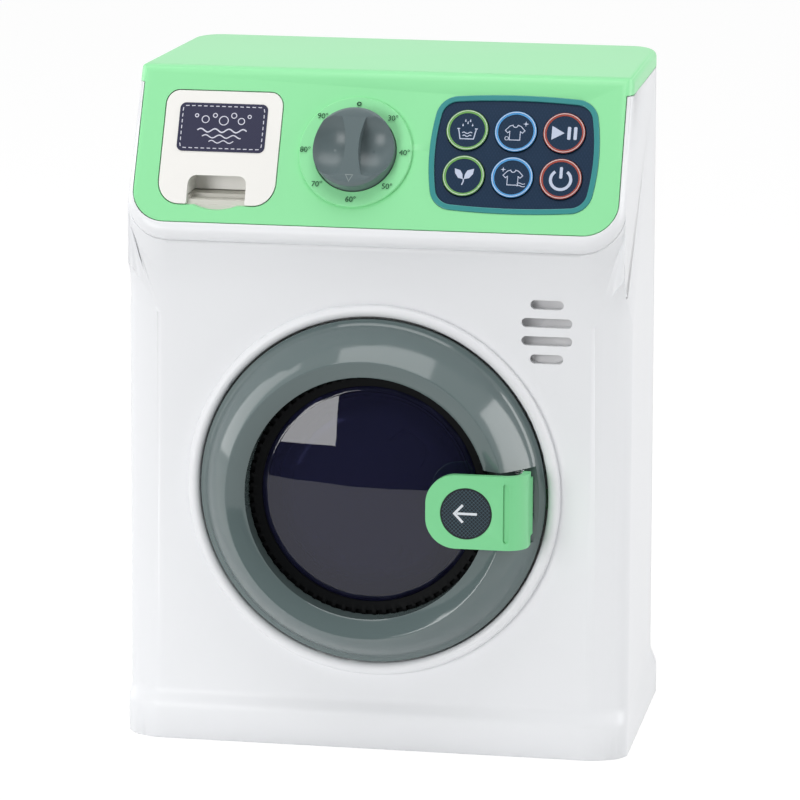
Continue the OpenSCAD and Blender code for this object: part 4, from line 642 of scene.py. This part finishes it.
class WASHER_OT_dial(bpy.types.Operator):
    """Makes the knob with its pointer and the printed scale round it"""
    bl_idname = "washer.dial"
    bl_label = "Dial"

    def execute(self, context):
        grey = plastic("knob grey", props("panel").knob_grey, roughness=0.3, tone=0.01, cloud=60,
                       spread=0.02, bump=0.015, specular=0.35)
        dress("knob", [grey], edge=0.35, smooth=40, segments=3)
        repaint(brass("spindle brass"), "knob_spindle")
        repaint(encoder_black(), "dial_encoder")
        x, s = DIAL
        pointer = Ink()
        pointer.stroke([(x - 1.5, s - 12.5), (x + 1.5, s - 12.5), (x, s - 15.3)], 0.36, closed=True)
        pointer.piece("knob_pointer", ink("pointer ink", (0.22, 0.26, 0.26)), FASCIA, KNOB_TOP,
                      "dial")
        dark = ink("scale ink", (0.008, 0.07, 0.03))
        self.numerals(dark)
        mark = Ink()
        mark.ring((x, s + 20.6), 0.75, 0.45, 20)
        mark.area([(x - 0.75, s + 18.9), (x + 0.75, s + 18.9), (x, s + 18.25)])
        mark.piece("dial_top_mark", dark, FASCIA, DIAL_FACE, "case")
        return {"FINISHED"}

    def numerals(self, dark):
        """The numbers of the scale, from 30 at the upper right round to 90 at the upper left"""
        size, film, radius = props("prints").numeral, props("prints").film, 20.9
        bm = bmesh.new()
        for i in range(7):
            angle = math.radians(45 - 45 * i)
            mesh = text_mesh(str(30 + 10 * i) + "\u00b0", size, "numeral")
            spot = (DIAL[0] + radius * math.cos(angle), DIAL[1] + radius * math.sin(angle), 0)
            mesh.transform(Matrix.Translation(spot) @ Matrix.Scale(film, 4, (0, 0, 1)))
            bm.from_mesh(mesh)
            bpy.data.meshes.remove(mesh)
        bmesh.ops.remove_doubles(bm, verts=bm.verts, dist=1e-5)
        numerals = object_from(bm, "dial_numerals", [dark])
        place_piece(numerals, FASCIA @ Matrix.Translation((0, 0, DIAL_FACE + film / 2)))
        finish_piece(numerals, "case")


class WASHER_OT_keypad(bpy.types.Operator):
    """Makes the printed keypad, its rim and the six buttons with their pictures"""
    bl_idname = "washer.keypad"
    bl_label = "Keypad"

    def execute(self, context):
        p = props("panel")
        navy = printed_cloth("keypad print", p.navy, (0.011, 0.032, 0.075), 330.0, -TILT, 0.34)
        rim = plastic("rim teal", p.teal, roughness=0.25, tone=0.05, cloud=60, coat=0.2)
        dress("keypad_rim", [rim], edge=0.3, segments=3)
        dress("keypad_sheet", [navy], edge=0.08)
        colours = {"green": p.ring_green, "blue": p.ring_blue, "red": p.ring_red}
        pale = ink("icon ink", (0.50, 0.56, 0.70))
        out = (FASCIA.to_3x3() @ Vector((0, 0, 1))).normalized()
        for i, name in enumerate(BUTTONS):
            word = ("green", "blue", "red")[i % 3]
            ring = plastic("ring " + word, colours[word], roughness=0.3, tone=0.04, cloud=90)
            spot = FASCIA @ Vector((*BUTTON_SPOTS[name], BUTTON_FACE))

            def pick(face, spot=spot):
                """The raised ring is what stands above the button's face"""
                return 1 if (face.calc_center_median() - spot).dot(out) > 0.06 * MM else 0

            body, slot = name + "_key", "button_" + word
            dress("button_" + name, [navy, ring], edge=0.09, pick=pick)
            # Pale line round the outer edge of each raised ring, in a lighter tint of the ring's colour: a
            # painted highlight on the ring's edge
            edge = Ink()
            edge.ring(BUTTON_SPOTS[name], 8.25, 0.34, 64)
            painted_highlight = [0.45 + 0.45 * v for v in colours[word]]
            edge.piece("ring_painted_highlight_" + name, ink("ring painted highlight " + word, painted_highlight), FASCIA, RING_FACE, body)
            marks = Ink()
            getattr(self, name)(marks, BUTTON_SPOTS[name])
            marks.piece("icon_" + name, pale, FASCIA, BUTTON_FACE, body)
        return {"FINISHED"}

    def soak(self, marks, c):
        x, y = c
        marks.stroke([(x - 4.3, y + 0.6), (x - 3.1, y + 0.6)], 0.4)
        marks.stroke([(x + 3.1, y + 0.6), (x + 4.3, y + 0.6)], 0.4)
        marks.stroke([(x - 3.7, y + 0.4), (x - 2.8, y - 3.8), (x + 2.8, y - 3.8), (x + 3.7, y + 0.4)], 0.42)
        for k in (0, 1):
            marks.stroke(wave_line((x, y - 1.2 - 1.3 * k), 4.2 - 0.6 * k, 0.6, 1.5), 0.36)
        for dx, dy in ((-2.0, 2.0), (0, 3.0), (2.0, 2.0), (-1.0, 3.9), (1.0, 3.9)):
            drop = arc_points((x + dx, y + dy), 0.34, 200, 340, 6)
            marks.area([(x + dx, y + dy + 0.95)] + drop)

    def shirt(self, marks, c):
        x, y = c
        marks.stroke(shirt_outline((x - 0.3, y - 0.5), 1.05), 0.34, closed=True)
        self.sparkle(marks, (x + 4.0, y + 3.4), 1.2)
        marks.ring((x - 3.6, y - 3.0), 0.75, 0.28, 16)

    def play(self, marks, c):
        x, y = c
        marks.area([(x - 5.2, y - 3.0), (x + 0.1, y), (x - 5.2, y + 3.0)])
        for dx in (2.0, 4.6):
            marks.area(rounded_box((x + dx, y), 1.4, 5.6, 0.5, 4))

    def leaf(self, marks, c):
        x, y = c
        for s, k, dy in ((-1, 0.92, 0.2), (1, 1.0, 0)):
            tip = (x + s * 4.2 * k, y + 3.2 * k + dy)
            root = (x + s * 0.25, y - 1.4)
            upper = [(x + s * 0.5, y + 0.6 + dy), (x + s * 1.5, y + 2.4 * k + dy)]
            lower = [(x + s * 3.9 * k, y + 0.9 + dy), (x + s * 2.4 * k, y - 0.9)]
            points = [root] + upper + [tip] + lower
            marks.area(points if s > 0 else points[::-1])
        marks.stroke([(x, y - 1.2), (x + 0.1, y - 2.4), (x - 0.5, y - 3.9)], 0.5)

    def fresh(self, marks, c):
        x, y = c
        marks.stroke(shirt_outline((x + 0.3, y - 0.1), 1.05), 0.34, closed=True)
        self.sparkle(marks, (x - 3.9, y + 3.3), 1.1)
        for k in (0, 1):
            marks.stroke(wave_line((x + 3.9, y - 2.5 - 1.1 * k), 3.4, 0.5, 1), 0.32)

    def power(self, marks, c):
        x, y = c
        marks.ring((x, y - 0.3), 4.2, 1.25, 36, 126, 414)
        marks.area(rounded_box((x, y + 2.7), 1.25, 5.0, 0.5, 4))

    def sparkle(self, marks, c, r):
        points = []
        for k in range(8):
            a = math.radians(45 * k)
            d = r if k % 2 == 0 else r * 0.3
            points.append((c[0] + d * math.cos(a), c[1] + d * math.sin(a)))
        marks.area(points)


class WASHER_OT_drawer(bpy.types.Operator):
    """Makes the soap drawer with its printed label"""
    bl_idname = "washer.drawer"
    bl_label = "Soap drawer"

    def execute(self, context):
        dress("drawer_tray", [plastic("drawer white", (0.83, 0.82, 0.79), roughness=0.4, tone=0.012)],
              edge=0.3)
        # The white housing is given a darker warm grey: painted shade for the recess behind the drawer's
        # finger notch
        dress("drawer_housing", [plastic("housing painted shade", (0.58, 0.57, 0.52), roughness=0.5, tone=0.02)],
              edge=0.2)
        patch = printed_cloth("label patch", (0.018, 0.019, 0.054), (0.033, 0.034, 0.075), 700.0, -TILT, 0.5)
        dress("drawer_label", [patch], edge=0.1)
        thread = ink("label thread", (0.62, 0.63, 0.72))
        p = props("prints")
        tree = stitch_tree()
        path = rounded_box(LABEL, 34.6, 18.4, 1.7, 6)
        stitches = run_tree(tree, {"Stitch Length": p.stitch, "Stitch Width": 0.36, "Stitch Height": 0.08,
                                   "Pitch": 2.62, "Thread": thread},
                            "label_stitches", FASCIA @ Matrix.Translation((0, 0, LABEL_FACE + 0.02)), path)
        finish_piece(stitches, "drawer")
        marks = Ink()
        x, y = LABEL
        for k, (w, dy) in enumerate(((21.0, -1.4), (16.5, -4.0), (10.5, -6.3))):
            marks.stroke(wave_line((x, y + dy), w, 1.5 - 0.2 * k, 3.5 - 0.7 * k, 48), 0.55 - 0.07 * k)
        for dx, dy, r in ((-7.4, 3.4, 1.5), (-3.4, 5.2, 0.85), (0.4, 3.0, 1.9), (4.6, 5.3, 1.1),
                          (7.9, 2.9, 1.35), (11.2, 5.0, 0.7), (-11.2, 5.0, 0.7)):
            marks.ring((x + dx, y + dy), r, 0.38, 28)
        marks.piece("label_marks", thread, FASCIA, LABEL_FACE, "drawer")
        return {"FINISHED"}


class WASHER_OT_door(bpy.types.Operator):
    """Moulds the round door with its slotted ring and smoked window"""
    bl_idname = "washer.door"
    bl_label = "Door"

    def execute(self, context):
        ring = plastic("door ring grey", props("door").ring, roughness=0.1, tone=0.02, cloud=20, bump=0.008,
                       spread=0.03)
        # The slotted ring is near-black with hardly any gloss: painted shade for the gap between the door
        # ring and the window
        dark = plastic("slot ring painted shade", (0.004, 0.0045, 0.005), roughness=0.5, specular=0.06)
        dress("door_ring", [ring], edge=0.25, smooth=40)
        dress("door_inner_ring", [dark], edge=0.1)
        # The window's flange and side walls are opaque near-black: painted shade at the window's edge, which
        # also hides the refraction there
        edge = plastic("window rim painted shade", (0.004, 0.004, 0.008), roughness=0.03, tone=0.0, spread=0.0, bump=0.0)

        def pick(face):
            """The clear part is the middle of the window, where it faces forward; the rest is painted shade
            """
            c = face.calc_center_median()
            far = math.hypot(c.x, c.z - DOOR_Z * MM) > WINDOW_R * MM
            return 1 if far or abs(face.normal.y) < 0.9 else 0

        dress("door_window", [smoked_window(), edge], edge=0, pick=pick, smooth=50)
        dress("door_back", [plastic("door back", (0.16, 0.19, 0.19), roughness=0.4)],
              edge=0.2)
        dress("hinge_bracket", [case_white()], edge=0.15)
        repaint(pin_steel(), "hinge_pin", "latch_pin", "latch_spring")
        return {"FINISHED"}


class WASHER_OT_handle(bpy.types.Operator):
    """Moulds the latch handle and its hatched badge"""
    bl_idname = "washer.handle"
    bl_label = "Latch handle"

    def execute(self, context):
        green = plastic("handle green", props("door").handle, roughness=0.33, tone=0.02, cloud=40)
        dress("door_handle", [green], edge=0.4, smooth=40, segments=3)
        navy = printed_cloth("badge navy", (0.003, 0.007, 0.012), (0.006, 0.012, 0.02), 500.0, 0.0, 0.6)
        dress("handle_badge", [navy], edge=0.1)
        line = ink("hatch ink", (0.05, 0.1, 0.13))
        tree = hatch_tree()
        pitch, radius = props("prints").hatch, 10.1
        for name, turn in (("badge_hatch_a", math.radians(45)), ("badge_hatch_b", math.radians(-45))):
            hatch = run_tree(tree, {"Radius": radius, "Pitch": pitch, "Line Width": 0.18, "Line Height": 0.06,
                                    "Turn": turn, "Lines": int(2 * radius / pitch), "Line": line},
                             name, DOOR @ Matrix.Translation(BADGE), [(0, 0), (1, 0)], closed=False)
            finish_piece(hatch, "latch_handle")
        marks = Ink()
        x, y, n = BADGE
        marks.stroke([(x - 3.9, y), (x + 4.6, y)], 1.05)
        marks.stroke([(x - 1.3, y + 3.7), (x - 4.8, y), (x - 1.3, y - 3.7)], 1.05)
        marks.piece("badge_arrow", ink("arrow ink", (0.66, 0.70, 0.74)), DOOR, n + 0.03,
                    "latch_handle")
        return {"FINISHED"}


class WASHER_OT_drum(bpy.types.Operator):
    """Finishes the drum, its tub front and the gears behind it"""
    bl_idname = "washer.drum"
    bl_label = "Drum and drive"

    def execute(self, context):
        dress("drum", [plastic("drum grey", (0.40, 0.42, 0.45), roughness=0.3, tone=0.03)],
              edge=0.2)
        dress("tub_front", [plastic("tub white", (0.74, 0.74, 0.73), roughness=0.42)],
              edge=0.25)
        ivory = plastic("gear ivory", (0.78, 0.72, 0.55), roughness=0.4, tone=0.03)
        repaint(pin_steel(), "drum_shaft", "idler_axle", "motor")
        repaint(ivory, "drum_gear", "idler_gear")
        repaint(brass("bush brass"), "shaft_bushes", "motor_pinion")
        repaint(inner_white(), "gear_frame", "gear_cover")
        return {"FINISHED"}


class WASHER_OT_power(bpy.types.Operator):
    """Finishes the speaker, the battery box, the power switch and the leads"""
    bl_idname = "washer.power"
    bl_label = "Power and sound"

    def execute(self, context):
        dress("speaker_frame", [plastic("speaker frame", (0.62, 0.62, 0.63), roughness=0.5)],
              edge=0.2)
        paper = plastic("speaker cone", (0.72, 0.72, 0.73), roughness=0.8, grain=700, bump=0.2)
        repaint(paper, "speaker_cone")
        dress("battery_cover", [case_white()], edge=0.25)
        dress("switch_slider", [plastic("switch black", (0.02, 0.02, 0.022), roughness=0.4)],
              edge=0.2)
        repaint(inner_white(), "battery_box")
        repaint(plastic("cell sleeve", (0.55, 0.24, 0.03), roughness=0.25), "battery_cells")
        repaint(screw_steel(), "battery_springs", "cover_screw")
        repaint(encoder_black(), "power_switch")
        for node, name, colour in (("battery_lead", "lead red", (0.34, 0.01, 0.008)),
                                   ("motor_lead", "lead grey", (0.10, 0.105, 0.11)),
                                   ("speaker_lead", "lead black", (0.01, 0.01, 0.01))):
            repaint(plastic(name, colour, roughness=0.5), node)
        return {"FINISHED"}


def stage_object(name, points, faces, material):
    mesh = bpy.data.meshes.new(name)
    mesh.from_pydata(points, [], faces)
    mesh.materials.append(material)
    obj = bpy.data.objects.new(name, mesh)
    bpy.context.scene.collection.objects.link(obj)
    return obj


def area_lamp(name, place, target, width, height, power):
    lamp = bpy.data.lights.new(name, "AREA")
    lamp.shape = "RECTANGLE"
    lamp.size = width
    lamp.size_y = height
    lamp.energy = power
    obj = bpy.data.objects.new(name, lamp)
    obj.location = place
    obj.rotation_euler = (Vector(target) - Vector(place)).to_track_quat("-Z", "Y").to_euler()
    bpy.context.scene.collection.objects.link(obj)
    return obj


def seen_directly(tree, x, y):
    """1 for what the camera sees, also in a reflection or through the window, and 0 for the light it gives"""
    path = add_node(tree, "ShaderNodeLightPath", x, y).outputs
    seen = add_math(tree, "MAXIMUM", x + 200, y, path["Is Camera Ray"], path["Is Glossy Ray"])
    return add_math(tree, "MAXIMUM", x + 350, y, seen, path["Is Transmission Ray"])


class WASHER_OT_stage(bpy.types.Operator):
    """Sets the floor, the dark card that the gloss reflects, the lamps and the camera"""
    bl_idname = "washer.stage"
    bl_label = "Stage"

    def execute(self, context):
        p = props("stage")
        scene = context.scene
        scene.view_settings.view_transform = "Standard"
        self.world(scene, p)
        self.floor()
        self.card()
        area_lamp("Key lamp", (-0.97, -1.80, 0.46), (-0.02, -0.05, 0.12), 0.85, 0.95, p.key)
        area_lamp("Top lamp", (0.0, -0.35, 1.35), (0, 0, 0.15), 1.1, 0.8, p.top)
        area_lamp("Rim lamp", (-1.5, 0.5, 0.85), (0, 0, 0.13), 0.9, 1.6, p.rim)
        area_lamp("Side lamp", (1.7, 0.12, 0.7), (0, 0, 0.12), 0.8, 1.1, p.side)
        self.camera(scene, p)
        return {"FINISHED"}

    def world(self, scene, p):
        world = bpy.data.worlds.new("Studio")
        world.use_nodes = True
        scene.world = world
        tree = world.node_tree
        strength = add_node(tree, "ShaderNodeMapRange", -180, 100,
                            {"To Min": p.sky, "To Max": 1.0, "Value": seen_directly(tree, -700, 100)})
        fill(tree, tree.nodes["Background"], {"Color": (1, 1, 1, 1), "Strength": strength.outputs[0]})

    def floor(self):
        material, tree, shader = new_material("White floor")
        fill(tree, shader, {"Base Color": (0.9, 0.9, 0.9, 1), "Roughness": 0.6, "Specular IOR Level": 0.2})
        glow = add_node(tree, "ShaderNodeEmission", 0, -300, {"Strength": 1.07})
        amount = add_math(tree, "MULTIPLY", 0, 300, seen_directly(tree, -500, 300), 0.86)
        mix = add_node(tree, "ShaderNodeMixShader", 250, 100,
                       {"Fac": amount, 1: shader.outputs[0], 2: glow.outputs[0]})
        fill(tree, tree.nodes["Material Output"], {"Surface": mix.outputs[0]})
        stage_object("Floor", [(-3, -0.62, 0), (3, -0.62, 0), (3, 4, 0), (-3, 4, 0)], [(0, 1, 2, 3)],
                     material)

    def card(self):
        dark, tree, shader = new_material("Dark card")
        fill(tree, shader, {"Base Color": (0.02, 0.02, 0.025, 1), "Roughness": 0.9})
        card = stage_object("Dark card", [(-5, -3.2, -2.5), (5, -3.2, -2.5), (5, -3.2, 8), (-5, -3.2, 8)],
                            [(3, 2, 1, 0)], dark)
        for way in ("camera", "diffuse", "transmission", "volume_scatter", "shadow"):
            setattr(card, "visible_" + way, False)

    def camera(self, scene, p):
        data = bpy.data.cameras.new("Camera")
        data.lens = p.lens
        data.sensor_width = 36
        data.clip_start = 0.05
        data.clip_end = 30
        camera = bpy.data.objects.new("Camera", data)
        right = Vector((0.98324, 0.18223, 0.00442))
        up = Vector((-0.04170, 0.20126, 0.97865))
        back = right.cross(up)
        turn = Matrix((right, up, back)).transposed().to_4x4()
        camera.matrix_world = Matrix.Translation((0.36787, -1.98552, 0.56365)) @ turn
        scene.collection.objects.link(camera)
        scene.camera = camera


class WASHER_PT_panel(bpy.types.Panel):
    """Everything that the washer is made of"""
    bl_idname = "WASHER_PT_panel"
    bl_label = "Washer"
    bl_space_type = "VIEW_3D"
    bl_region_type = "UI"
    bl_category = "Washer"

    def draw(self, context):
        for title, name, steps in GROUPS:
            box = self.layout.box()
            box.label(text=title)
            if name:
                group = props(name)
                for key in group.__annotations__:
                    box.prop(group, key)
            for step in steps:
                box.operator(step.bl_idname)


GROUPS = (
    ("Case", "case", (WASHER_OT_case, WASHER_OT_panel)),
    ("Controls", "panel", (WASHER_OT_dial, WASHER_OT_keypad)),
    ("Prints", "prints", (WASHER_OT_drawer,)),
    ("Door", "door", (WASHER_OT_door, WASHER_OT_handle)),
    ("Inside", None, (WASHER_OT_drum, WASHER_OT_power)),
    ("Stage", "stage", (WASHER_OT_stage,)),
)
PROPERTY_GROUPS = {"case": CaseProps, "panel": PanelProps, "prints": PrintProps, "door": DoorProps,
                   "stage": StageProps}
CLASSES = (*PROPERTY_GROUPS.values(), *(step for _, _, steps in GROUPS for step in steps), WASHER_PT_panel)


def register():
    for cls in CLASSES:
        bpy.utils.register_class(cls)
    for name, cls in PROPERTY_GROUPS.items():
        setattr(bpy.types.Scene, "washer_" + name, bpy.props.PointerProperty(type=cls))


def unregister():
    for name in PROPERTY_GROUPS:
        delattr(bpy.types.Scene, "washer_" + name)
    for cls in reversed(CLASSES):
        bpy.utils.unregister_class(cls)


def main():
    register()
    for _, _, steps in GROUPS:
        for step in steps:
            group, name = step.bl_idname.split(".")
            result = getattr(getattr(bpy.ops, group), name)()
            if result != {"FINISHED"}:
                raise RuntimeError(step.bl_label + " wasn't finished")


if __name__ == "__main__":
    main()
